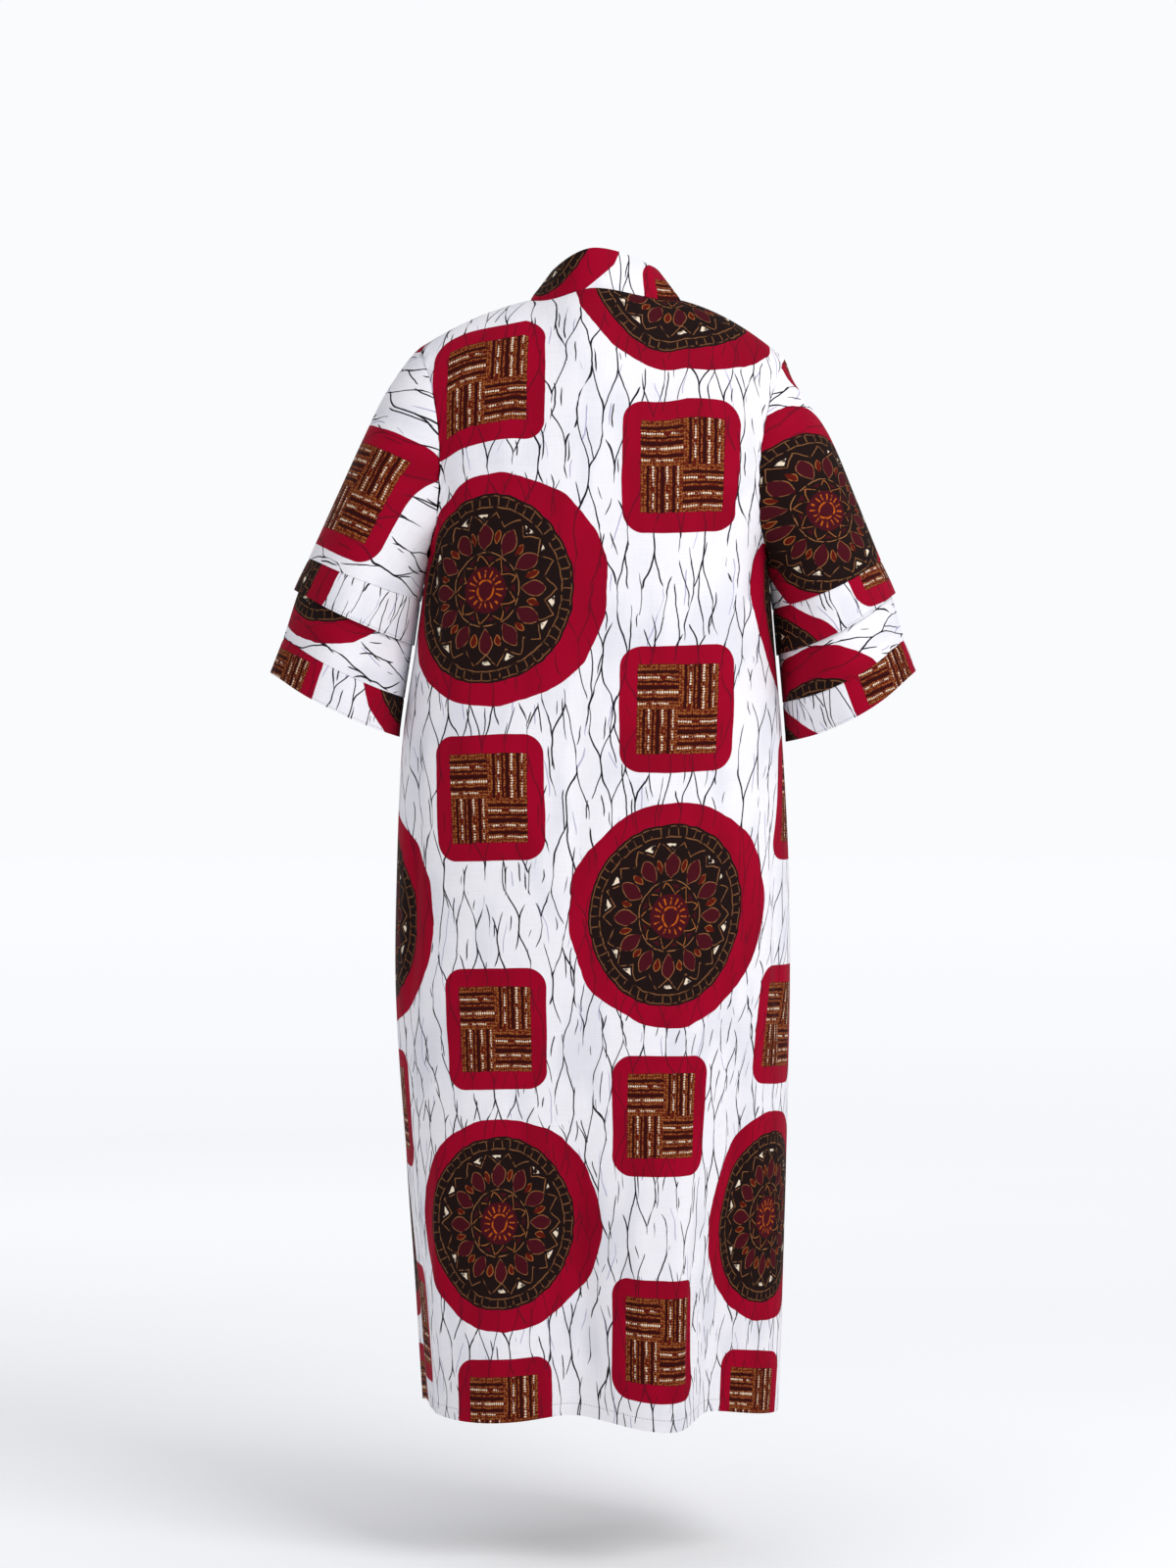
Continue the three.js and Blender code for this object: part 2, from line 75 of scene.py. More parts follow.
for lamp in LAMPS:
    bpy.ops.object.light_add(type="AREA", location=(lamp["x"], lamp["y"], lamp["z"]))
    light = bpy.context.object
    light.name = "lamp_" + lamp["name"]
    light.data.size = lamp["size"]
    light.data.energy = lamp["watts"]
    aim = np.array([0, 0, CAMERA_Z]) - np.array(light.location)
    light.rotation_euler = (
        math.atan2(math.hypot(aim[0], aim[1]), -aim[2]),
        0,
        math.atan2(aim[0], -aim[1]) + math.pi,
    )

world = bpy.data.worlds.new("studio")
world.use_nodes = True
backdrop = world.node_tree.nodes["Background"]
backdrop.inputs["Color"].default_value = SKY
seen = world.node_tree.nodes.new("ShaderNodeLightPath")
strength = world.node_tree.nodes.new("ShaderNodeMapRange")
strength.inputs["To Min"].default_value = SKY_LIGHT
strength.inputs["To Max"].default_value = SKY_SEEN
world.node_tree.links.new(seen.outputs["Is Camera Ray"], strength.inputs["Value"])
world.node_tree.links.new(strength.outputs["Result"], backdrop.inputs["Strength"])
bpy.context.scene.world = world

bpy.ops.object.select_all(action="DESELECT")
bpy.ops.mesh.primitive_plane_add(size=2 * FLOOR_HALF, location=(0, 0, FLOOR_Z))
floor = bpy.context.object
floor.name = "floor"
paper = bpy.data.materials.new("floor_paper")
paper.use_nodes = True
nodes = paper.node_tree.nodes
links = paper.node_tree.links
shader = nodes["Principled BSDF"]
shader.inputs["Base Color"].default_value = PAPER
shader.inputs["Roughness"].default_value = 0.95
shader.inputs["Specular IOR Level"].default_value = 0.1
shader.inputs["Emission Color"].default_value = SKY
place = nodes.new("ShaderNodeTexCoord")
distance = nodes.new("ShaderNodeVectorMath")
distance.operation = "LENGTH"
share = nodes.new("ShaderNodeMath")
share.operation = "DIVIDE"
share.inputs[1].default_value = GLOW_REACH
glow = nodes.new("ShaderNodeValToRGB")
glow.color_ramp.interpolation = "CARDINAL"
for away, amount in FLOOR_GLOW[1:-1]:
    glow.color_ramp.elements.new(away / GLOW_REACH)
for stop, (away, amount) in zip(glow.color_ramp.elements, FLOOR_GLOW):
    stop.color = (amount, amount, amount, 1)
links.new(place.outputs["Object"], distance.inputs[0])
links.new(distance.outputs["Value"], share.inputs[0])
links.new(share.outputs[0], glow.inputs[0])
links.new(glow.outputs[0], shader.inputs["Emission Strength"])
floor.data.materials.append(paper)


# The printed cotton. It is a crisp plain weave with a wax-resist print: fine dark veins along the warp
# on a cool white ground, and a half-drop repeat of crimson squares and rounds. Every piece is cut from
# it, and its pattern is worked out on the cloth's own sizes, held in metres in each piece's UV map.
REPEAT_ACROSS = 0.215
REPEAT_ALONG = 0.764
SQUARE_FROM_ROUND = 0.2435
SQUARE_HALF = (0.0655, 0.074)
SQUARE_CORNER = 0.024
PATCH_HALF = (0.0460, 0.0522)
ROUND_HALF = (0.129, 0.134)
ROUND_ASIDE = -0.007
ROUND_DARK_HALF = (0.098, 0.109)
# The dark net of veins, the dark twigs in it, and the few pale violet veins.
VEINS = [
    dict(Spacing=0.0135, Reach=0.066, Lean=1.00, Width=0.00072, Torn=0.42, Seed=0.0),
    dict(Spacing=0.0135, Reach=0.058, Lean=-0.55, Width=0.00060, Torn=0.54, Seed=1.0),
    dict(Spacing=0.0410, Reach=0.090, Lean=0.40, Width=0.00050, Torn=0.50, Seed=5.0),
]
SOFT_EDGE = 0.0005
HAND_SWAY = 0.017
HAND_TREMOR = 0.003
SQUARE_SWAY = 0.3
THREAD_PITCH = 0.00042
STITCH_LENGTH = 0.003


def dye(code, alpha=1.0):
    """A colour as the shaders want it, from its common six-figure code."""
    parts = [int(code[i : i + 2], 16) / 255 for i in (0, 2, 4)]
    return tuple(p / 12.92 if p <= 0.04045 else ((p + 0.055) / 1.055) ** 2.4 for p in parts) + (alpha,)


GROUND = dye("eeecf1")
GROUND_SHADE = dye("e0e0e8")
VEIN_BLACK = dye("17161c")
VEIN_FAINT = dye("8d86b4")
CRIMSON = dye("9a0025")
CRIMSON_DEEP = dye("8c0020")
CRIMSON_VEIN = dye("5a0a1e")
BASKET_BROWN = dye("561409")
BASKET_DARK = dye("310a07")
GOLD = dye("9a5c2c")
CREAM = dye("ead8c0")
THREAD_SHADOW = dye("3a2026")
ROUND_BROWN = dye("1b0f0e")
RUST = dye("90603a")
MAROON = dye("430c16")
ORANGE = dye("b5560f")


def feed(tree, socket, value):
    """Joins a socket to another node's output, or sets it to a plain value."""
    if isinstance(value, bpy.types.NodeSocket):
        tree.links.new(value, socket)
    else:
        socket.default_value = value


def reckon(tree, operation, *values):
    """A Math node on values or sockets."""
    node = tree.nodes.new("ShaderNodeMath")
    node.operation = operation
    for socket, value in zip(node.inputs, values):
        feed(tree, socket, value)
    return node.outputs[0]


def times(tree, first, second):
    return reckon(tree, "MULTIPLY", first, second)


def times_plus(tree, first, second, third):
    return reckon(tree, "MULTIPLY_ADD", first, second, third)


def less(tree, first, second):
    return reckon(tree, "SUBTRACT", first, second)


def soft_step(tree, value, off, on):
    """0 where value is at off, 1 where it is at on, and a smooth rise between."""
    node = tree.nodes.new("ShaderNodeMapRange")
    node.interpolation_type = "SMOOTHSTEP"
    feed(tree, node.inputs["Value"], value)
    feed(tree, node.inputs["From Min"], off)
    feed(tree, node.inputs["From Max"], on)
    return node.outputs["Result"]


def paint(tree, mask, under, over):
    """One colour laid over another through a mask."""
    node = tree.nodes.new("ShaderNodeMix")
    node.data_type = "RGBA"
    feed(tree, node.inputs[0], mask)
    feed(tree, node.inputs[6], under)
    feed(tree, node.inputs[7], over)
    return node.outputs[2]


def apart(tree, vector):
    node = tree.nodes.new("ShaderNodeSeparateXYZ")
    feed(tree, node.inputs[0], vector)
    return node.outputs[0], node.outputs[1]


def together(tree, x, y, z=0.0):
    node = tree.nodes.new("ShaderNodeCombineXYZ")
    for socket, value in zip(node.inputs, (x, y, z)):
        feed(tree, socket, value)
    return node.outputs[0]


def length_of(tree, x, y):
    return reckon(tree, "SQRT", times_plus(tree, x, x, times(tree, y, y)))


def cloud(tree, x, y, seed, scale, stretch=1.0):
    """Two smooth random values between 0 and 1 over the cloth. stretch draws them out along the warp."""
    node = tree.nodes.new("ShaderNodeTexNoise")
    place = together(tree, x, reckon(tree, "DIVIDE", y, stretch), seed)
    feed(tree, node.inputs["Vector"], place)
    node.inputs["Scale"].default_value = scale
    node.inputs["Detail"].default_value = 1.0
    parts = tree.nodes.new("ShaderNodeSeparateColor")
    feed(tree, parts.inputs[0], node.outputs["Color"])
    return parts.outputs[0], parts.outputs[1]


def shaken(tree, value, noise, reach):
    """A value pushed to and fro by a random one, by up to about half of reach."""
    return times_plus(tree, less(tree, noise, 0.5), reach, value)


def new_group(name, inputs, outputs):
    """An empty node group, its own input sockets by name, and its own output sockets by name."""
    group = bpy.data.node_groups.new(name, "ShaderNodeTree")
    for way, sockets in (("INPUT", inputs), ("OUTPUT", outputs)):
        for label, kind in sockets.items():
            group.interface.new_socket(label, in_out=way, socket_type="NodeSocket" + kind)
    start = group.nodes.new("NodeGroupInput")
    end = group.nodes.new("NodeGroupOutput")
    return group, start.outputs, end.inputs


def placed(tree, group, **inputs):
    node = tree.nodes.new("ShaderNodeGroup")
    node.node_tree = group
    for label, value in inputs.items():
        feed(tree, node.inputs[label], value)
    return node.outputs


def flow_group():
    """How the veins wander: cloth places with slow and quick random sways, so that no vein is straight."""
    tree, given, made = new_group("vein_flow", dict(Cloth="Vector"), dict(Flow="Vector"))
    x, y = apart(tree, given["Cloth"])
    wide = times(tree, x, 0.35)
    drift = cloud(tree, x, y, 1.0, 4.5, stretch=1.5)
    sway = cloud(tree, wide, y, 4.0, 24.0)
    tremor = cloud(tree, wide, y, 6.0, 80.0)
    stagger = cloud(tree, x, times(tree, y, 0.3), 10.0, 14.0)
    x = shaken(tree, shaken(tree, x, drift[0], 0.028), sway[0], 0.010)
    x = shaken(tree, x, tremor[0], 0.0020)
    y = shaken(tree, shaken(tree, y, drift[1], 0.08), stagger[0], 0.11)
    feed(tree, made["Flow"], together(tree, x, y))
    return tree


def vein_group():
    """Fine threads along the warp. Neighbours lean together into a stem and part again, and break off here
    and there."""
    tree, given, made = new_group(
        "wax_veins",
        dict(Flow="Vector", Spacing="Float", Reach="Float", Lean="Float", Width="Float", Torn="Float",
             Seed="Float"),
        dict(Mask="Float"),
    )
    x, y = apart(tree, given["Flow"])
    y = times_plus(tree, given["Seed"], 0.031, y)
    place = times_plus(tree, given["Seed"], 0.5, reckon(tree, "DIVIDE", x, given["Spacing"]))
    thread = reckon(tree, "ROUND", place)
    odd = reckon(tree, "PINGPONG", thread, 1.0)
    swing = reckon(tree, "PINGPONG", reckon(tree, "DIVIDE", y, given["Reach"]), 1.0)
    swing = less(tree, soft_step(tree, swing, 0.12, 0.88), 0.5)
    side = times(tree, times_plus(tree, odd, -2.0, 1.0), given["Lean"])
    line = times_plus(tree, swing, side, thread)
    away = reckon(tree, "ABSOLUTE", less(tree, line, place))
    away = times(tree, away, given["Spacing"])
    own = times_plus(tree, thread, 0.37, given["Seed"])
    torn = cloud(tree, own, y, 7.0, 19.0)
    whole = soft_step(tree, torn[0], given["Torn"], reckon(tree, "ADD", given["Torn"], 0.07))
    width = times(tree, given["Width"], whole)
    width = times(tree, width, times_plus(tree, torn[1], 0.7, 0.55))
    ink = soft_step(tree, less(tree, away, width), SOFT_EDGE, 0.0)
    feed(tree, made["Mask"], times(tree, ink, soft_step(tree, whole, 0.0, 0.2)))
    return tree


def stripes(tree, place, rows):
    """A ramp that is white on the rows of a stripe, each given by its start and end, and black between."""
    node = tree.nodes.new("ShaderNodeValToRGB")
    ramp = node.color_ramp
    ramp.interpolation = "CONSTANT"
    ramp.elements[0].position = 0.0
    ramp.elements[0].color = (0, 0, 0, 1)
    ramp.elements[1].position = 1.0
    ramp.elements[1].color = (0, 0, 0, 1)
    for start, end in rows:
        ramp.elements.new(start).color = (1, 1, 1, 1)
        ramp.elements.new(end).color = (0, 0, 0, 1)
    feed(tree, node.inputs[0], place)
    return node.outputs[0]


def basket_group():
    """A two by two basket weave: four blocks of striped bars, laid level and upright in turn."""
    tree, given, made = new_group("basket_patch", dict(Place="Vector"), dict(Color="Color", Mask="Float"))
    x, y = apart(tree, given["Place"])
    tremor = cloud(tree, x, y, 3.0, 130.0)
    wide = shaken(tree, x, tremor[0], 0.0026)
    tall = shaken(tree, y, tremor[1], 0.0026)
    level = reckon(tree, "GREATER_THAN", times(tree, x, y), 0.0)

    def choose(when_level, when_upright):
        rest = less(tree, 1.0, level)
        return times_plus(tree, when_level, level, times(tree, when_upright, rest))

    wide = reckon(tree, "DIVIDE", wide, PATCH_HALF[0])
    tall = reckon(tree, "DIVIDE", tall, PATCH_HALF[1])
    over = reckon(tree, "FRACT", choose(tall, wide))
    along = choose(wide, tall)
    dark = stripes(tree, over, [(0.18, 0.25), (0.44, 0.53), (0.59, 0.63), (0.80, 0.86)])
    gold = stripes(tree, over, [(0.0, 0.05), (0.065, 0.10), (0.14, 0.17), (0.265, 0.3), (0.32, 0.35),
                                 (0.40, 0.43), (0.545, 0.58), (0.64, 0.68), (0.755, 0.79), (0.87, 0.92),
                                 (0.94, 0.985)])
    cream = stripes(tree, over, [(0.105, 0.135), (0.355, 0.395), (0.69, 0.73)])
    beads = soft_step(tree, reckon(tree, "PINGPONG", times(tree, along, 17.0), 0.5), 0.12, 0.22)
    patchy = cloud(tree, x, y, 9.0, 95.0)
    shown = soft_step(tree, patchy[0], 0.4, 0.5)
    speck = cloud(tree, x, y, 12.0, 330.0)
    gold = times(tree, gold, times_plus(tree, beads, 0.8, 0.2))
    gold = times(tree, gold, soft_step(tree, speck[0], 0.4, 0.55))
    cream = times(tree, cream, times(tree, beads, shown))
    color = paint(tree, dark, BASKET_BROWN, BASKET_DARK)
    color = paint(tree, gold, color, GOLD)
    color = paint(tree, cream, color, CREAM)
    far = reckon(tree, "MAXIMUM", reckon(tree, "ABSOLUTE", wide), reckon(tree, "ABSOLUTE", tall))
    feed(tree, made["Color"], color)
    feed(tree, made["Mask"], soft_step(tree, far, 1 + SOFT_EDGE / PATCH_HALF[0], 1.0))
    return tree


def rosette_group():
    """A plain rosette on a dark ground: a ticked rim, two zigzag rings, leaves and a small flower."""
    tree, given, made = new_group("leaf_rosette", dict(Place="Vector"), dict(Color="Color", Radius="Float"))
    x, y = apart(tree, given["Place"])
    y = times(tree, y, ROUND_DARK_HALF[0] / ROUND_DARK_HALF[1])
    tremor = cloud(tree, x, y, 5.0, 60.0)
    x = shaken(tree, x, tremor[0], 0.005)
    y = shaken(tree, y, tremor[1], 0.005)
    radius = length_of(tree, x, y)
    turn = times_plus(tree, reckon(tree, "ARCTAN2", y, x), 0.5 / math.pi, 0.5)
    worn = soft_step(tree, cloud(tree, x, y, 11.0, 130.0)[0], 0.36, 0.52)

    def petals(count, shift=0.0):
        """0 on the middle line of each of count sectors and 0.5 where two of them meet."""
        return reckon(tree, "PINGPONG", times_plus(tree, turn, count, shift), 0.5)

    def within(inner, outer):
        past = reckon(tree, "GREATER_THAN", radius, inner)
        return times(tree, past, reckon(tree, "LESS_THAN", radius, outer))

    def ring(at, half):
        away = reckon(tree, "ABSOLUTE", less(tree, radius, at))
        return soft_step(tree, away, half + SOFT_EDGE, half)

    def ticks(count, inner, outer, half):
        arc = times(tree, petals(count), math.pi * (inner + outer) / count)
        return times(tree, soft_step(tree, arc, half + SOFT_EDGE, half), within(inner, outer))

    def zigzag(count, shift, inner, outer):
        """A zigzag ring between two radii: its line and the notches outside it."""
        way = times_plus(tree, petals(count, shift), 2 * (inner - outer), outer)
        past = less(tree, radius, way)
        line = soft_step(tree, reckon(tree, "ABSOLUTE", past), 0.0011, 0.0004)
        notch = reckon(tree, "GREATER_THAN", past, 0.0045)
        return line, times(tree, notch, within(inner, outer - 0.0022))

    def leaf(count, shift, inner, outer, width):
        """A ring of pointed leaves between two radii: its filled form and its outline."""
        middle = (inner + outer) / 2
        out = reckon(tree, "DIVIDE", less(tree, radius, middle), (outer - inner) / 2)
        swell = less(tree, 1.0, times(tree, out, out))
        arc = times(tree, petals(count, shift), 2 * math.pi * middle / count)
        gap = less(tree, arc, times(tree, swell, width))
        fill = times(tree, soft_step(tree, gap, SOFT_EDGE, 0.0), within(inner, outer))
        line = soft_step(tree, reckon(tree, "ABSOLUTE", gap), 0.0008, 0.0003)
        return fill, times(tree, line, within(inner, outer))

    outer_line, outer_notch = zigzag(18, 0.0, 0.067, 0.080)
    inner_line, inner_notch = zigzag(9, 0.5, 0.024, 0.036)
    leaf_fill, leaf_line = leaf(12, 0.0, 0.040, 0.068, 0.0080)
    bud_fill, bud_line = leaf(12, 0.5, 0.048, 0.062, 0.0034)
    second = reckon(tree, "GREATER_THAN", petals(6, 0.25), 0.2)
    color = paint(tree, within(0.0, 0.024), ROUND_BROWN, MAROON)
    faint_notch = times(tree, inner_notch, 0.8)
    for mask, tint in ((leaf_fill, MAROON), (bud_fill, BASKET_BROWN), (faint_notch, MAROON)):
        color = paint(tree, mask, color, tint)
    for mask, strength, tint in (
        (ticks(54, 0.0865, 0.0945, 0.0004), 0.55, RUST),
        (ring(0.0955, 0.0004), 0.55, RUST),
        (ring(0.0850, 0.0004), 0.65, RUST),
        (outer_line, 0.8, RUST),
        (times(tree, outer_notch, second), 1.0, CREAM),
        (leaf_line, 0.8, RUST),
        (bud_line, 1.0, GOLD),
        (ring(0.0380, 0.0003), 1.0, RUST),
        (inner_line, 1.0, GOLD),
        (ticks(16, 0.013, 0.020, 0.0006), 1.0, ORANGE),
        (ring(0.0100, 0.0007), 1.0, ORANGE),
    ):
        color = paint(tree, times(tree, mask, times(tree, worn, strength)), color, tint)
    feed(tree, made["Color"], color)
    feed(tree, made["Radius"], radius)
    return tree


def print_group():
    """The whole print: veined ground, crimson shapes in half-drop repeat, and what each of them holds."""
    tree, given, made = new_group("wax_print", dict(Cloth="Vector"), dict(Color="Color", Ink="Float"))
    veins = vein_group()
    basket = basket_group()
    rosette = rosette_group()
    across, along = apart(tree, given["Cloth"])
    column = reckon(tree, "ROUND", reckon(tree, "DIVIDE", across, REPEAT_ACROSS))
    local_x = times_plus(tree, column, -REPEAT_ACROSS, across)
    drop = times_plus(tree, reckon(tree, "PINGPONG", column, 1.0), REPEAT_ALONG / 2, along)
    turns = reckon(tree, "ROUND", reckon(tree, "DIVIDE", drop, REPEAT_ALONG))
    local_y = times_plus(tree, turns, -REPEAT_ALONG, drop)
    upper = reckon(tree, "SIGN", local_y)
    square_y = times_plus(tree, upper, -SQUARE_FROM_ROUND, local_y)

    swell = cloud(tree, across, along, 2.0, 13.0)
    tremor = cloud(tree, across, along, 4.0, 55.0)
    hand_x = shaken(tree, shaken(tree, 0.0, swell[0], HAND_SWAY), tremor[0], HAND_TREMOR)
    hand_y = shaken(tree, shaken(tree, 0.0, swell[1], HAND_SWAY), tremor[1], HAND_TREMOR)

    square_x = reckon(tree, "ABSOLUTE", times_plus(tree, hand_x, SQUARE_SWAY, local_x))
    square_z = reckon(tree, "ABSOLUTE", times_plus(tree, hand_y, SQUARE_SWAY, square_y))
    out_x = less(tree, square_x, SQUARE_HALF[0] - SQUARE_CORNER)
    out_y = less(tree, square_z, SQUARE_HALF[1] - SQUARE_CORNER)
    past_x = reckon(tree, "MAXIMUM", out_x, 0.0)
    past_y = reckon(tree, "MAXIMUM", out_y, 0.0)
    corner = length_of(tree, past_x, past_y)
    inner = reckon(tree, "MINIMUM", reckon(tree, "MAXIMUM", out_x, out_y), 0.0)
    square = soft_step(tree, reckon(tree, "ADD", corner, inner), SQUARE_CORNER + SOFT_EDGE, SQUARE_CORNER)

    def round_at(from_x, from_y):
        far_x = reckon(tree, "ADD", less(tree, from_x, ROUND_ASIDE), hand_x)
        far_y = reckon(tree, "ADD", from_y, hand_y)
        far_y = times(tree, far_y, ROUND_HALF[0] / ROUND_HALF[1])
        return soft_step(tree, length_of(tree, far_x, far_y), ROUND_HALF[0] + SOFT_EDGE, ROUND_HALF[0])

    # A round is wider than its column, so the next column's round reaches in from the nearer side.
    next_x = times_plus(tree, reckon(tree, "SIGN", local_x), -REPEAT_ACROSS, local_x)
    next_y = times_plus(tree, upper, -REPEAT_ALONG / 2, local_y)
    disc = reckon(tree, "MAXIMUM", round_at(local_x, local_y), round_at(next_x, next_y))

    flow = placed(tree, flow_group(), Cloth=given["Cloth"])["Flow"]
    net, twigs, pale = (placed(tree, veins, Flow=flow, **kind)["Mask"] for kind in VEINS)
    dark_veins = reckon(tree, "MAXIMUM", net, twigs)

    mottle = cloud(tree, across, along, 8.0, 21.0, stretch=2.5)
    ground = paint(tree, soft_step(tree, mottle[0], 0.45, 0.7), GROUND, GROUND_SHADE)
    ground = paint(tree, times(tree, pale, 0.7), ground, VEIN_FAINT)
    ground = paint(tree, dark_veins, ground, VEIN_BLACK)
    crimson = paint(tree, soft_step(tree, mottle[1], 0.35, 0.7), CRIMSON, CRIMSON_DEEP)
    crimson = paint(tree, times(tree, dark_veins, 0.75), crimson, CRIMSON_VEIN)
    color = paint(tree, reckon(tree, "MAXIMUM", square, disc), ground, crimson)

    patch = placed(tree, basket, Place=together(tree, local_x, square_y))
    flower = placed(tree, rosette, Place=together(tree, local_x, local_y))
    dark = soft_step(tree, flower["Radius"], ROUND_DARK_HALF[0] + SOFT_EDGE, ROUND_DARK_HALF[0])
    color = paint(tree, patch["Mask"], color, patch["Color"])
    color = paint(tree, dark, color, flower["Color"])
    ink = reckon(tree, "MAXIMUM", reckon(tree, "MAXIMUM", square, disc), dark_veins)
    feed(tree, made["Color"], color)
    feed(tree, made["Ink"], ink)
    return tree


def weave_group():
    """The plain weave: fine threads over and under each other, with thicker ones here and there."""
    tree, given, made = new_group(
        "plain_weave", dict(Cloth="Vector", Thread="Float"), dict(Height="Float", Slub="Float")
    )
    x, y = apart(tree, given["Cloth"])
    warp = reckon(tree, "SINE", reckon(tree, "DIVIDE", times(tree, x, math.pi), given["Thread"]))
    weft = reckon(tree, "SINE", reckon(tree, "DIVIDE", times(tree, y, math.pi), given["Thread"]))
    crossed = times(tree, warp, weft)
    slub_warp = cloud(tree, x, y, 13.0, 900.0, stretch=30.0)[0]
    slub_weft = cloud(tree, reckon(tree, "DIVIDE", x, 30.0), y, 17.0, 900.0)[0]
    slub = times(tree, reckon(tree, "ADD", slub_warp, slub_weft), 0.5)
    feed(tree, made["Height"], times_plus(tree, crossed, 0.5, slub))
    feed(tree, made["Slub"], slub)
    return tree


def stitch_group():
    """A row of lockstitches in a shallow groove. Edge holds the way along the row and the way off it."""
    tree, given, made = new_group(
        "row_of_stitches", dict(Edge="Vector"), dict(Hole="Float", Groove="Float")
    )
    along, off = apart(tree, given["Edge"])
    off = reckon(tree, "ABSOLUTE", off)
    feed(tree, made["Groove"], soft_step(tree, off, 0.0026, 0.0002))
    near = soft_step(tree, off, 0.0009, 0.0005)
    turn = reckon(tree, "PINGPONG", reckon(tree, "DIVIDE", along, STITCH_LENGTH), 0.5)
    feed(tree, made["Hole"], times(tree, near, soft_step(tree, turn, 0.22, 0.1)))
    return tree


def printed_cotton():
    cotton = bpy.data.materials.new("printed_cotton")
    cotton.use_nodes = True
    tree = cotton.node_tree
    shader = tree.nodes["Principled BSDF"]
    cloth = tree.nodes.new("ShaderNodeUVMap")
    cloth.uv_map = "cloth"
    edge = tree.nodes.new("ShaderNodeUVMap")
    edge.uv_map = "edge"
    design = placed(tree, print_group(), Cloth=cloth.outputs[0])
    weave = placed(tree, weave_group(), Cloth=cloth.outputs[0], Thread=THREAD_PITCH)
    shade = soft_step(tree, weave["Slub"], 0.3, 0.75)
    stitched = placed(tree, stitch_group(), Edge=edge.outputs[0])
    holes = times(tree, stitched["Hole"], 0.6)
    shadow = reckon(tree, "MAXIMUM", times(tree, shade, 0.07), holes)
    feed(tree, shader.inputs["Base Color"], paint(tree, shadow, design["Color"], THREAD_SHADOW))
    rough = times_plus(tree, design["Ink"], -0.1, 0.8)
    feed(tree, shader.inputs["Roughness"], times_plus(tree, weave["Slub"], 0.1, rough))
    bump = tree.nodes.new("ShaderNodeBump")
    bump.inputs["Strength"].default_value = 0.22
    bump.inputs["Distance"].default_value = 0.0002
    height = times_plus(tree, stitched["Hole"], -2.0, weave["Height"])
    feed(tree, bump.inputs["Height"], times_plus(tree, stitched["Groove"], -5.0, height))
    feed(tree, shader.inputs["Normal"], bump.outputs[0])
    shader.inputs["Specular IOR Level"].default_value = 0.05
    shader.inputs["Sheen Weight"].default_value = 0.01
    shader.inputs["Sheen Roughness"].default_value = 0.45
    return cotton


cotton = printed_cotton()


# The back. It is one straight panel of the printed cotton from the hem to the shoulders, where it is sewn
# to the fronts, with a neck curve for the collar and a curve at each side for the sleeve.
HEM_Z = -1.347
UNDERARM_Z = -0.330
NECK_SHIFT = -0.013
NECK_HALF = 0.093
NECK_DEPTH = 0.062
NECK_PLAN_POWER = 1.15
NAPE_RISE = 0.052
SHOULDER = {
    "left": dict(tip_half=0.214, tip_z=-0.058, crown=0.007),
    "right": dict(tip_half=0.232, tip_z=-0.072, crown=0.010),
}
ARMHOLE_DEPTH = 0.080
ARMHOLE_PINCH = 0.023
SECTION_POWER = 2.5
NECK_SHARE = 0.375
FRONT_EDGE_HALF = 0.088


def table(columns, *rows):
    """Rows of numbers as dicts, with each number under the name of its column."""
    return [dict(zip(columns.split(), row)) for row in rows]


BODY_SECTIONS = table(
    "z left right back front",
    (-1.347, 0.205, 0.220, 0.148, 0.150),
    (-1.200, 0.216, 0.227, 0.152, 0.154),
    (-1.060, 0.229, 0.233, 0.158, 0.158),
    (-0.850, 0.243, 0.238, 0.167, 0.162),
    (-0.700, 0.242, 0.237, 0.163, 0.160),
    (-0.540, 0.235, 0.229, 0.146, 0.153),
    (-0.430, 0.220, 0.220, 0.136, 0.142),
    (-0.330, 0.206, 0.212, 0.133, 0.136),
)
# turn is 0 at the spine, 1 at the side seams and 2 at the front middle, plus to the left.
BODY_FOLDS = table(
    "turn to_spine to_side depth drop top",
    (0.43, 0.20, 0.24, 0.014, 0.003, -0.740),
    (0.09, 0.14, 0.14, -0.018, -0.006, -0.780),
    (-0.24, 0.17, 0.09, 0.024, 0.010, -0.800),
    (-0.42, 0.08, 0.15, -0.014, -0.007, -0.860),
    (-0.74, 0.14, 0.13, 0.009, 0.002, -0.900),
    (0.80, 0.12, 0.12, -0.008, 0.004, -0.900),
    (1.22, 0.10, 0.13, 0.014, 0.005, -0.640),
    (1.47, 0.11, 0.10, -0.013, -0.004, -0.560),
    (-1.18, 0.12, 0.10, -0.011, -0.003, -0.700),
    (-1.44, 0.10, 0.12, 0.015, 0.006, -0.600),
)
SIGN = {"left": 1, "right": -1}
CLOTH_WALL = 0.0011
HEM_WALL = 0.0022
HEM_WIDTH = 0.014
RING_GAP = 0.00002
BACK_COLUMNS = 128
BACK_ROWS = 216
BACK_EVENED = 16
BACK_PRINT_PLACE = (-0.127, -0.988)
TUCK_FROM = 0.1
CREASE_DEPTH = 2.2
CREASE_FADE = 0.35
ARMHOLE_FADE = 0.12
SMOOTH_ANGLE = math.radians(55)
# Gathers: height, length, how much the length changes and over which length, and how far off they reach.
BACK_RIPPLES = (0.0011, 0.0046, 1.7, 0.031, 0.010)
HEM_WAVES = (0.0009, 0.017, 1.3, 0.052, 0.03)


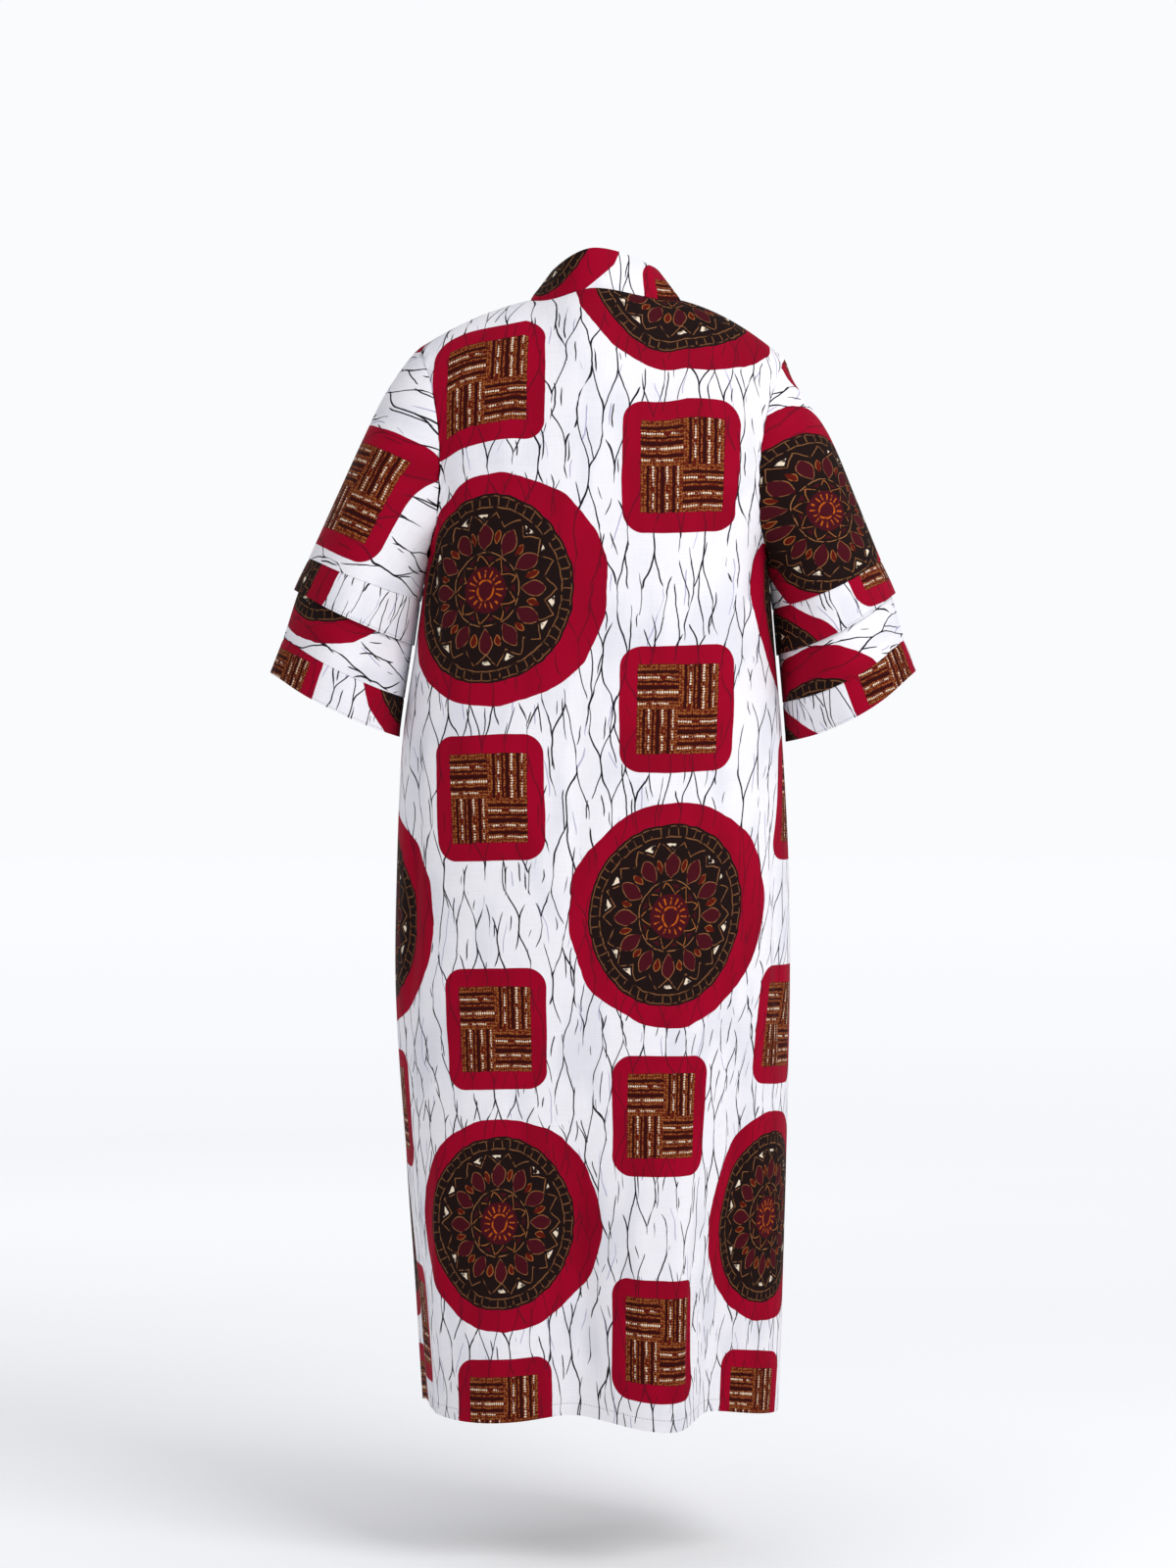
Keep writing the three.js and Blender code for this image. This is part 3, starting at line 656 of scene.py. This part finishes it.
def smooth_curve(rows, along, column, level_ends=False):
    """Reads one column of a table's rows as a smooth curve along another column."""
    rows = sorted(rows, key=lambda row: row[along])
    places = np.array([row[along] for row in rows])
    values = np.array([row[column] for row in rows])
    slopes = np.zeros(len(rows))
    slopes[1:-1] = (values[2:] - values[:-2]) / (places[2:] - places[:-2])
    if not level_ends:
        slopes[0] = (values[1] - values[0]) / (places[1] - places[0])
        slopes[-1] = (values[-1] - values[-2]) / (places[-1] - places[-2])

    def read(where):
        where = np.clip(where, places[0], places[-1])
        i = np.clip(np.searchsorted(places, where), 1, len(rows) - 1)
        span = places[i] - places[i - 1]
        t = (where - places[i - 1]) / span
        rise = values[i] - values[i - 1]
        leaving = slopes[i - 1] * span
        arriving = slopes[i] * span
        bend = t**2 * (3 * rise - 2 * leaving - arriving) + t**3 * (leaving + arriving - 2 * rise)
        return values[i - 1] + t * leaving + bend

    return read


def ease(t):
    return t * t * (3 - 2 * t)


body_half = {side: smooth_curve(BODY_SECTIONS, "z", side) for side in SIGN}
body_depth = {facing: smooth_curve(BODY_SECTIONS, "z", facing, True) for facing in ("back", "front")}


def neck_half(side):
    return NECK_HALF + SIGN[side] * NECK_SHIFT


def ridge_z(side, x):
    """Height of the shoulder line. It rises towards the neck."""
    tip_half, tip_z, crown = (SHOULDER[side][key] for key in ("tip_half", "tip_z", "crown"))
    length = tip_half - neck_half(side)
    t = (x - neck_half(side)) / length
    outside = tip_z * t + crown * 4 * t * (1 - t)
    t = x / neck_half(side)
    slope = (tip_z + crown * 4) / length * neck_half(side)
    inside = NAPE_RISE * (1 + t * t * (2 * t - 3)) + slope * t * t * (t - 1)
    return np.where(x >= neck_half(side), outside, inside)


def drawn_in(height):
    return np.sqrt(np.maximum(1 - height * height, 0))


def section_y(x, half, depth):
    share = np.minimum(np.abs(x / half), 1) ** SECTION_POWER
    return depth * (1 - share) ** (1 / SECTION_POWER)


def folds_at(turn, z):
    """Outward push and drop of the hanging folds."""
    push = np.zeros_like(turn)
    drop = np.zeros_like(turn)
    for fold in BODY_FOLDS:
        away = (turn - fold["turn"]) * np.sign(fold["turn"])
        width = np.where(away < 0, fold["to_spine"], fold["to_side"])
        down = np.clip((fold["top"] - z) / (fold["top"] - HEM_Z), 0, 1)
        share = np.exp(-((away / width) ** 2)) * ease(down)
        push += fold["depth"] * share
        drop += fold["drop"] * share * down
    return push, drop


def body_points(facing, side, across, up):
    """Places on the back or a front. across is 0 at the middle or front edge and 1 at the side. up is 0 at
    the hem, 1 at the underarm and 2 on the shoulder line."""
    tip_half = SHOULDER[side]["tip_half"]
    depth_at = body_depth[facing]
    out = 1 if facing == "back" else -1
    neck_angle = np.full_like(across, math.pi / 2)
    if facing == "back":
        in_neck = across < NECK_SHARE
        neck_angle = np.where(in_neck, across / NECK_SHARE * math.pi / 2, neck_angle)
        t = np.clip((across - NECK_SHARE) / (1 - NECK_SHARE), 0, 1)
        shoulder_x = neck_half(side) + t * (tip_half - neck_half(side))
        top_x = np.where(in_neck, neck_half(side) * np.sin(neck_angle), shoulder_x)
    else:
        top_x = neck_half(side) + across * (tip_half - neck_half(side))

    def hanging_x(half):
        edge = 0
        if facing == "front":
            edge = 2 / math.pi * np.arcsin((FRONT_EDGE_HALF / half) ** (SECTION_POWER / 2))
        share = edge + (1 - edge) * across
        return half * np.sin(share * math.pi / 2) ** (2 / SECTION_POWER)

    z = HEM_Z + np.clip(up, 0, 1) * (UNDERARM_Z - HEM_Z)
    half = body_half[side](z)
    depth = depth_at(z)
    x = hanging_x(half)
    y = section_y(x, half, depth)
    turn = np.arctan2(x / half, out * y / depth) / (math.pi / 2)
    push, drop = folds_at(SIGN[side] * turn, z)
    reach = np.hypot(x / half, y / depth)
    hanging = np.stack([x + push * x / half / reach, y + push * y / depth / reach, z - drop], -1)

    climb = np.sin((np.clip(up, 1, 2) - 1) * math.pi / 2)
    swing = np.sin((np.clip(up, 1, 2) - 1) * math.pi)
    edge_height = climb**2
    under_half = body_half[side](np.array(UNDERARM_Z))
    depth = depth_at(np.array(UNDERARM_Z))
    neck_y = NECK_DEPTH * np.maximum(np.cos(neck_angle), 0) ** NECK_PLAN_POWER
    height = edge_height * drawn_in(neck_y / depth)
    edge_x = under_half + (tip_half - under_half) * edge_height - ARMHOLE_PINCH * swing**2
    share = ARMHOLE_DEPTH * 2 * climb / (depth * np.sqrt(1 + edge_height))
    half = edge_x / (1 - share**SECTION_POWER) ** (1 / SECTION_POWER)
    under_share = hanging_x(under_half) / under_half
    x = edge_x * (under_share + (top_x / tip_half - under_share) * edge_height**1.5)
    y = section_y(x, half, depth * drawn_in(height))
    z = UNDERARM_Z + height * (ridge_z(side, top_x) - UNDERARM_Z)
    shoulder = np.stack([x, y, z], -1)
    return np.where((up <= 1)[..., None], hanging, shoulder) * [SIGN[side], out, 1]


def back_form(across, up):
    signed = across * 2 - 1
    left = body_points("back", "left", np.abs(signed), up * 2)
    right = body_points("back", "right", np.abs(signed), up * 2)
    return np.where((signed < 0)[..., None], right, left)


def runs(points, axis):
    """Length of cloth from the first row or column of a grid of points."""
    steps = np.linalg.norm(np.diff(points, axis=axis), axis=-1)
    start = np.zeros_like(np.take(steps, [0], axis=axis))
    return np.concatenate([start, np.cumsum(steps, axis=axis)], axis=axis)


def evened(values, reach):
    """Values averaged over a number of columns to each side."""
    padded = np.pad(values, ((0, 0), (reach, reach)), mode="edge")
    sums = np.cumsum(np.pad(padded, ((0, 0), (1, 0))), axis=1)
    return (sums[:, 2 * reach + 1 :] - sums[:, : -2 * reach - 1]) / (2 * reach + 1)


def facing_out(points, inside):
    """Directions square to a grid of points, away from other points that lie inside it."""
    normal = np.cross(np.gradient(points, axis=1), np.gradient(points, axis=0))
    normal /= np.maximum(np.linalg.norm(normal, axis=-1, keepdims=True), 1e-12)
    return normal * np.sign(np.sum(normal * (points - inside), axis=-1).mean())


def lay_cloth(name, columns, rows, form, relief, cut, wall=CLOTH_WALL, centre=None, hemmed=False,
              stitched=-1.0):
    """A sheet of the cloth on a form. relief gives its creases, cut places the print, and a hem is thicker.
    A sheet lies round an upright line at its centre, or, where it has none, it is a ring round the arm.
    stitched is the height of a row of stitches over the sheet's lower edge."""
    bpy.ops.object.select_all(action="DESELECT")
    bpy.ops.mesh.primitive_grid_add(x_subdivisions=columns, y_subdivisions=rows, size=1)
    piece = bpy.context.object
    piece.name = name
    mesh = piece.data
    mesh.name = name
    flat = np.empty(len(mesh.vertices) * 3)
    mesh.vertices.foreach_get("co", flat)
    flat = flat.reshape(-1, 3).round(6)
    order = np.lexsort((flat[:, 0], flat[:, 1]))
    shape = (rows + 1, columns + 1)
    across = flat[order, 0].reshape(shape) + 0.5
    up = flat[order, 1].reshape(shape) + 0.5
    points = form(across, up)
    sheet = dict(up=up, u=runs(points, 1), v=runs(points, 0), points=points)
    inside = points.mean(axis=1, keepdims=True) if centre is None else points * [0, 0, 1] + centre
    out = facing_out(points, inside)
    points = points + out * relief(sheet)[..., None]
    laid = np.empty_like(flat)
    laid[order] = points.reshape(-1, 3)
    mesh.vertices.foreach_set("co", laid.ravel())

    corners = np.empty(len(mesh.loops), dtype=np.int32)
    mesh.loops.foreach_get("vertex_index", corners)
    for layer in list(mesh.uv_layers):
        mesh.uv_layers.remove(layer)
    for label, places in (("cloth", cut(sheet)), ("edge", (sheet["u"], sheet["v"] - stitched))):
        uv = np.empty((len(flat), 2))
        uv[order] = np.stack(places, -1).reshape(-1, 2)
        mesh.uv_layers.new(name=label).data.foreach_set("uv", uv[corners].ravel())
    mesh.update()

    face = mesh.polygons[len(mesh.polygons) // 2]
    nearest = np.argmin(np.linalg.norm(points.reshape(-1, 3) - np.array(face.center), axis=1))
    bpy.ops.object.mode_set(mode="EDIT")
    bpy.ops.mesh.select_all(action="SELECT")
    if np.dot(np.array(face.normal), out.reshape(-1, 3)[nearest]) < 0:
        bpy.ops.mesh.flip_normals()
    if centre is None:
        bpy.ops.mesh.remove_doubles(threshold=RING_GAP)
    bpy.ops.object.mode_set(mode="OBJECT")

    solid = piece.modifiers.new("wall", "SOLIDIFY")
    solid.offset = -1
    solid.thickness = wall
    if hemmed:
        in_hem = np.empty(len(flat), dtype=bool)
        in_hem[order] = (sheet["v"] < HEM_WIDTH).ravel()
        weights = piece.vertex_groups.new(name="thickness")
        weights.add(np.flatnonzero(in_hem).tolist(), 1.0, "REPLACE")
        weights.add(np.flatnonzero(~in_hem).tolist(), wall / HEM_WALL, "REPLACE")
        solid.thickness = HEM_WALL
        solid.vertex_group = "thickness"
    bpy.ops.object.modifier_apply(modifier="wall")
    piece.vertex_groups.clear()
    bpy.ops.object.shade_smooth_by_angle(angle=SMOOTH_ANGLE)
    piece.data.materials.append(cotton)
    return piece


def seam_dip(distance, depth=0.0009, width=0.0035):
    return -depth * np.exp(-((distance / width) ** 2))


def gathers(way, off, height, length, change, over, reach):
    """Uneven waves along a way, which fade with the distance off it."""
    return height * np.sin(way / length + change * np.sin(way / over)) * np.exp(-off / reach)


def crease(u, v, start, end, width, depth, bow=0.0):
    """A soft trough (or ridge, if depth is minus) from start to end on the cloth, fading at both ends."""
    run = np.array(end) - np.array(start)
    length = np.hypot(*run)
    along = ((u - start[0]) * run[0] + (v - start[1]) * run[1]) / length**2
    aside = ((u - start[0]) * -run[1] + (v - start[1]) * run[0]) / length
    aside = aside - bow * 4 * np.clip(along, 0, 1) * (1 - np.clip(along, 0, 1))
    fade = ease(np.clip(along / CREASE_FADE, 0, 1)) * ease(np.clip((1 - along) / CREASE_FADE, 0, 1))
    return -depth * CREASE_DEPTH * np.exp(-((aside / width) ** 2)) * fade


# Soft creases of the back. u runs from the spine, plus to the left, and v up from the hem.
BACK_CREASES = table(
    "start end width depth bow",
    ((0.030, 0.560), (0.018, 0.920), 0.010, 0.0016, 0.006),
    ((-0.215, 1.150), (-0.130, 0.980), 0.013, 0.0028, 0.008),
    ((-0.230, 1.080), (-0.165, 0.900), 0.011, 0.0022, -0.006),
    ((0.215, 1.170), (0.150, 1.000), 0.014, 0.0026, -0.008),
    ((0.228, 1.090), (0.190, 0.900), 0.010, 0.0020, 0.006),
    ((0.262, 0.420), (0.236, 0.860), 0.016, 0.0030, 0.010),
    ((-0.268, 0.380), (-0.240, 0.740), 0.014, 0.0024, -0.008),
    ((0.120, 0.060), (0.095, 0.430), 0.018, 0.0028, 0.010),
    ((0.196, 0.040), (0.186, 0.360), 0.013, -0.0026, -0.006),
    ((-0.182, 0.030), (-0.170, 0.470), 0.015, 0.0030, 0.008),
    ((-0.060, 0.020), (-0.046, 0.300), 0.010, -0.0016, 0.004),
    ((0.010, 0.020), (0.016, 0.350), 0.012, 0.0020, -0.004),
    ((-0.120, 0.015), (-0.128, 0.260), 0.008, 0.0030, 0.003),
)


def panel_relief(sheet, u, to_side, creases, ripples):
    """What the back and the fronts share: creases, ripples where the sleeves pull, and dips at seams."""
    v = sheet["v"]
    relief = seam_dip(to_side) + seam_dip(v[-1:, :] - v)
    relief += seam_dip(v - HEM_WIDTH, depth=0.0005, width=0.0022)
    for row in creases:
        relief += crease(u, v, **row)
    armhole = ease(np.clip(sheet["up"] * 2 - 1, 0, ARMHOLE_FADE) / ARMHOLE_FADE)
    return relief + gathers(v, to_side, *ripples) * armhole


def back_relief(sheet):
    u, v = sheet["u"], sheet["v"]
    to_side = np.minimum(u, u[:, -1:] - u)
    u = u - u[:, BACK_COLUMNS // 2][:, None]
    return panel_relief(sheet, u, to_side, BACK_CREASES, BACK_RIPPLES) + gathers(u, v, *HEM_WAVES)


# How the print lies on the hanging back at heights v: wide draws it in across, and more by tuck at the
# right side, and aside and lift move it. The real cloth runs back into deeper folds below.
BACK_PRINT = table(
    "v wide tuck aside lift",
    (0.00, 1.110, 0.45, 0.003, 0.024),
    (0.20, 1.105, 0.40, 0.001, 0.014),
    (0.40, 1.085, 0.25, 0.000, 0.002),
    (0.60, 1.010, 0.10, 0.002, -0.005),
    (0.80, 0.945, 0.00, 0.004, -0.003),
    (1.00, 0.910, 0.00, 0.006, 0.003),
    (1.20, 0.890, 0.00, 0.007, 0.017),
    (1.40, 0.885, 0.00, 0.007, 0.028),
)
back_print = {key: smooth_curve(BACK_PRINT, "v", key) for key in ("wide", "tuck", "aside", "lift")}


def back_cut(sheet):
    u = sheet["u"] - sheet["u"][:, BACK_COLUMNS // 2][:, None]
    v = evened(sheet["v"], BACK_EVENED)
    across = u * back_print["wide"](v) + back_print["aside"](v)
    across += np.minimum(u + TUCK_FROM, 0) * back_print["tuck"](v)
    return across + BACK_PRINT_PLACE[0], v - back_print["lift"](v) + BACK_PRINT_PLACE[1]


back = lay_cloth(
    "back_cloth", BACK_COLUMNS, BACK_ROWS, back_form, back_relief, back_cut, centre=(0, -0.03, -0.04),
    hemmed=True, stitched=HEM_WIDTH,
)
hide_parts("back_lower", "back_upper")
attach(back, "root")


# The fronts. Each is a straight panel like half of the back, sewn to it at the shoulder and the side.
# The two hang open, and their front edges are sewn to the collar strip.
FRONT_COLUMNS = 56
FRONT_EVENED = 12
FRONT_RIPPLES = (0.0011, 0.0048, 1.5, 0.029, 0.010)
CHEST = (0, 0.03, -0.04)
FRONT_CREASES = table(
    "start end width depth bow",
    ((0.060, 0.050), (0.075, 0.460), 0.014, 0.0030, 0.008),
    ((0.130, 0.030), (0.118, 0.380), 0.017, -0.0028, -0.006),
    ((0.180, 0.380), (0.205, 0.850), 0.015, 0.0026, 0.010),
    ((0.185, 1.160), (0.120, 0.980), 0.013, 0.0028, 0.008),
    ((0.200, 1.080), (0.160, 0.900), 0.011, 0.0022, -0.006),
    ((0.070, 1.260), (0.055, 1.060), 0.016, 0.0018, 0.004),
)


def front_relief(sheet):
    u = sheet["u"]
    to_side = u[:, -1:] - u
    return panel_relief(sheet, u, to_side, FRONT_CREASES, FRONT_RIPPLES) + seam_dip(u)


for side, print_u, print_v in (("left", 0.05, -0.62), ("right", 0.31, -0.83)):

    def front_form(across, up, side=side):
        return body_points("front", side, across, up * 2)

    def front_cut(sheet, print_u=print_u, print_v=print_v):
        return sheet["u"] + print_u, evened(sheet["v"], FRONT_EVENED) + print_v

    front = lay_cloth(
        f"front_{side}_cloth", FRONT_COLUMNS, BACK_ROWS, front_form, front_relief, front_cut, centre=CHEST,
        hemmed=True, stitched=HEM_WIDTH,
    )
    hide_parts(f"front_lower_{side}", f"front_upper_{side}")
    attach(front, "root")


# The collar strip. It is one long strip folded double, 50 mm wide, and sewn round the neck and down both
# front edges. It stands at the nape and leans in towards the sides of the neck.
STRIP_WIDTH = 0.050
STRIP_WALL = 0.0022
NAPE_LEAN = math.radians(8)
NECK_SIDE_LEAN = math.radians(37)
STRIP_ROWS = 12
COLLAR_COLUMNS = 72
COLLAR_PRINT_PLACE = (-0.087, -0.115)
BAND_PRINT_SHIFT = 0.08
STRIP_WAVES = (0.0007, 0.011, 1.4, 0.037, 0.012)


def collar_half_form(side, round_neck, across):
    seam = body_points("back", side, round_neck * NECK_SHARE, np.full_like(across, 2.0))
    turn = round_neck * math.pi / 2
    lean = NAPE_LEAN + (NECK_SIDE_LEAN - NAPE_LEAN) * np.sin(turn) ** 2
    way = np.stack(
        [-SIGN[side] * np.sin(turn) * np.sin(lean), -np.cos(turn) * np.sin(lean), np.cos(lean)], -1
    )
    return seam + way * (across * STRIP_WIDTH)[..., None]


def collar_form(across, up):
    signed = across * 2 - 1
    left = collar_half_form("left", np.abs(signed), up)
    right = collar_half_form("right", np.abs(signed), up)
    return np.where((signed < 0)[..., None], right, left)


def strip_relief(sheet):
    v = sheet["v"]
    roll = seam_dip(v[-1:, :] - v, depth=0.0012, width=0.003)
    return seam_dip(v) + roll + gathers(sheet["u"], v, *STRIP_WAVES)


def collar_cut(sheet):
    middle = sheet["u"][:, COLLAR_COLUMNS // 2][:, None]
    return sheet["u"] - middle + COLLAR_PRINT_PLACE[0], sheet["v"] + COLLAR_PRINT_PLACE[1]


collar = lay_cloth(
    "collar_cloth", COLLAR_COLUMNS, STRIP_ROWS, collar_form, strip_relief, collar_cut, wall=STRIP_WALL,
    centre=(NECK_SHIFT, -0.02, 0),
)
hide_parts("collar")
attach(collar, "root")

for side, print_v in (("left", 0.20), ("right", -0.41)):

    def band_form(across, up, side=side):
        """A front band. across runs down from neck to hem, and up from the seam to the free edge."""
        up_body = (1 - across) * 2
        seam = body_points("front", side, np.zeros_like(across), up_body)
        climb = ease(np.clip(np.sin(np.clip(up_body - 1, 0, 1) * math.pi / 2) ** 2, 0, 1))
        lean = math.pi / 2 + (NECK_SIDE_LEAN - math.pi / 2) * climb
        level = np.clip(seam[..., 2], HEM_Z, UNDERARM_Z)
        half = body_half[side](level)
        depth = body_depth["front"](level)
        start = np.abs(seam[..., 0])
        reach = up * STRIP_WIDTH
        forward = section_y(start - reach, half, depth) - section_y(start, half, depth)
        way = np.stack([-SIGN[side] * np.sin(lean), np.zeros_like(lean), np.cos(lean)], -1)
        ahead = np.stack([np.zeros_like(lean), -forward * (1 - climb), np.zeros_like(lean)], -1)
        return seam + way * reach[..., None] + ahead

    def band_cut(sheet, print_v=print_v):
        return sheet["v"] + BAND_PRINT_SHIFT, -sheet["u"] + print_v

    band = lay_cloth(
        f"front_band_{side}_cloth", BACK_ROWS, STRIP_ROWS, band_form, strip_relief, band_cut,
        wall=STRIP_WALL, centre=CHEST,
    )
    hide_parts(f"front_band_{side}")
    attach(band, "root")


# The sleeves. Each is a wide tube set into the armhole, cut with the print turned so that its veins run
# round the arm. A border band with the veins along the arm ends it, and a second tier with a band of its
# own comes out from under the first.
SLEEVE_COLUMNS = 96
# Stations down the sleeve: its clearance off the body, its half width, how far its head is pinched in, and
# on each side the outer fold's x and z and the underarm fold's z.
SLEEVE_STATIONS = table(
    "at clear half pinch left right",
    (0.00, 0.0000, 0.080, 0.023, (0.214, -0.058, -0.330), (0.232, -0.072, -0.330)),
    (0.09, 0.0006, 0.083, 0.013, (0.236, -0.083, -0.335), (0.244, -0.098, -0.336)),
    (0.18, 0.0009, 0.085, 0.007, (0.258, -0.116, -0.339), (0.262, -0.126, -0.341)),
    (0.28, 0.0011, 0.087, 0.002, (0.279, -0.160, -0.343), (0.287, -0.166, -0.346)),
    (0.48, 0.0014, 0.090, 0.000, (0.315, -0.239, -0.353), (0.319, -0.242, -0.358)),
    (0.69, 0.0018, 0.093, 0.000, (0.350, -0.316, -0.368), (0.350, -0.318, -0.378)),
    (0.79, 0.0020, 0.095, 0.000, (0.368, -0.354, -0.422), (0.368, -0.358, -0.434)),
    (0.90, 0.0020, 0.097, 0.000, (0.385, -0.406, -0.481), (0.383, -0.408, -0.487)),
    (1.00, 0.0020, 0.098, 0.000, (0.403, -0.453, -0.534), (0.399, -0.450, -0.540)),
)
FOLD_PLACES = ("out_x", "out_z", "in_z")
FACE_DROP = {"left": 0.007, "right": 0.015}
UPPER_SEAM = 0.69
UPPER_HEM = 0.79
LOWER_SEAM = 0.91
TIER_STEP = 0.006
TIER_REST = 0.0022
SLEEVE_STITCH = 0.0025
HEAD_GATHERS = ((0.0012, 0.0046, 1.7, 0.031, 0.012), (0.0022, 0.016, 2.1, 0.07, 0.06))
CUFF_EDGE = HEM_WIDTH * 0.6
# Way down the arm, outwards and up.
SLEEVE_AXIS = (0.425, -0.905)
# turn is 0 at the underarm fold and 1 at the outer fold, minus to the front.
SLEEVE_WAVES = table(
    "turn width depth top",
    (0.52, 0.16, 0.005, 0.35),
    (0.78, 0.12, -0.005, 0.30),
    (0.30, 0.10, -0.004, 0.20),
    (-0.45, 0.15, 0.005, 0.30),
    (-0.72, 0.13, -0.006, 0.35),
)
# One row for each stretch of a sleeve: where it starts and ends, its mesh rows, how its print is turned
# and placed, and the width and length that it is cut to.
SLEEVE_PIECES = [
    dict(node="sleeve_upper", start=0.0, end=UPPER_SEAM, rows=56, turned=True, tier=False,
         print_left=(-0.2755, -0.178), print_right=(-0.356, 0.099), drawn=dict(left=0.82, right=1.0),
         flat=(0.62, 0.30), area=0.105),
    dict(node="sleeve_upper_band", start=UPPER_SEAM, end=UPPER_HEM, rows=10, turned=False, tier=False,
         print_left=(-0.030, 0.445), print_right=(0.260, 0.549), flat=(0.57, 0.054), area=None),
    dict(node="sleeve_lower", start=UPPER_SEAM, end=LOWER_SEAM, rows=22, turned=True, tier=True,
         print_left=(-0.405, 0.065), print_right=(-0.630, 0.210), drawn=dict(left=1.0, right=1.0),
         flat=(0.58, 0.12), area=None),
    dict(node="sleeve_lower_band", start=LOWER_SEAM, end=1.0, rows=10, turned=False, tier=True,
         print_left=(0.055, 0.844), print_right=(0.300, 0.676), flat=(0.59, 0.050), area=None),
]

for side in SIGN:
    stations = [dict(row, **dict(zip(FOLD_PLACES, row[side]))) for row in SLEEVE_STATIONS]
    curves = {key: smooth_curve(stations, "at", key) for key in FOLD_PLACES + ("clear", "half", "pinch")}

    def ring_points(along, round_arm, side=side, curves=curves):
        """round_arm is 0 at the underarm fold, 0.5 at the outer fold and 1 back at the underarm."""
        at_back = round_arm <= 0.5
        turn = np.where(at_back, round_arm * 2, 2 - round_arm * 2)
        height = (1 - np.cos(math.pi * turn)) / 2
        swing = np.sin(math.pi * turn)
        face = np.where(at_back, 1.0, -1.0)
        in_z = curves["in_z"](along)
        in_x = body_half[side](in_z) + curves["clear"](along)
        x = in_x + height * (curves["out_x"](along) - in_x) - curves["pinch"](along) * swing**2
        y = curves["half"](along) * swing * face
        z = in_z + height * (curves["out_z"](along) - in_z) - FACE_DROP[side] * along * swing**2
        for wave in SLEEVE_WAVES:
            away = (turn * face - wave["turn"]) / wave["width"]
            down = np.clip((along - wave["top"]) / (1 - wave["top"]), 0, 1)
            push = wave["depth"] * np.exp(-away * away) * ease(down)
            x = x - push * np.cos(math.pi * turn) * 0.5
            y = y + push * swing * face
        return np.stack([SIGN[side] * x, y, z], -1)

    for row in SLEEVE_PIECES:

        def sleeve_form(across, up, row=row):
            along = row["end"] + (row["start"] - row["end"]) * up
            points = ring_points(along, across)
            if not row["tier"]:
                return points
            opened = ease(np.clip((along - UPPER_SEAM) / (UPPER_HEM - UPPER_SEAM), 0, 1))
            outer = (1 - np.cos(2 * math.pi * across)) / 2
            step = TIER_REST + (TIER_STEP - TIER_REST) * opened * (0.1 + 0.9 * outer)
            return points - facing_out(points, points.mean(axis=1, keepdims=True)) * step[..., None]

        def sleeve_relief(sheet, row=row):
            u, v = sheet["u"], sheet["v"]
            high = v[-1:, :] - v
            relief = seam_dip(v - CUFF_EDGE, depth=0.0003, width=0.002) * (row["end"] == 1.0)
            relief = relief + seam_dip(high)
            if row["start"] == 0.0:
                for kind in HEAD_GATHERS:
                    relief += gathers(u, high, *kind)
            return relief

        def sleeve_cut(sheet, row=row, side=side):
            axis = np.array([SIGN[side] * SLEEVE_AXIS[0], 0, SLEEVE_AXIS[1]])
            down = sheet["points"] @ axis
            u = runs(sheet["points"] - down[..., None] * axis, 1)
            u = u - u[:, SLEEVE_COLUMNS // 2][:, None]
            shift_u, shift_v = row["print_" + side]
            if row["turned"]:
                return down * row["drawn"][side] + shift_u, u + shift_v
            return u + shift_u, -down + shift_v

        piece = lay_cloth(
            f"{row['node']}_{side}_cloth", SLEEVE_COLUMNS, row["rows"], sleeve_form, sleeve_relief,
            sleeve_cut, stitched=SLEEVE_STITCH if "band" in row["node"] else -1.0,
        )
        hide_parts(f"{row['node']}_{side}")
        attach(piece, "root")
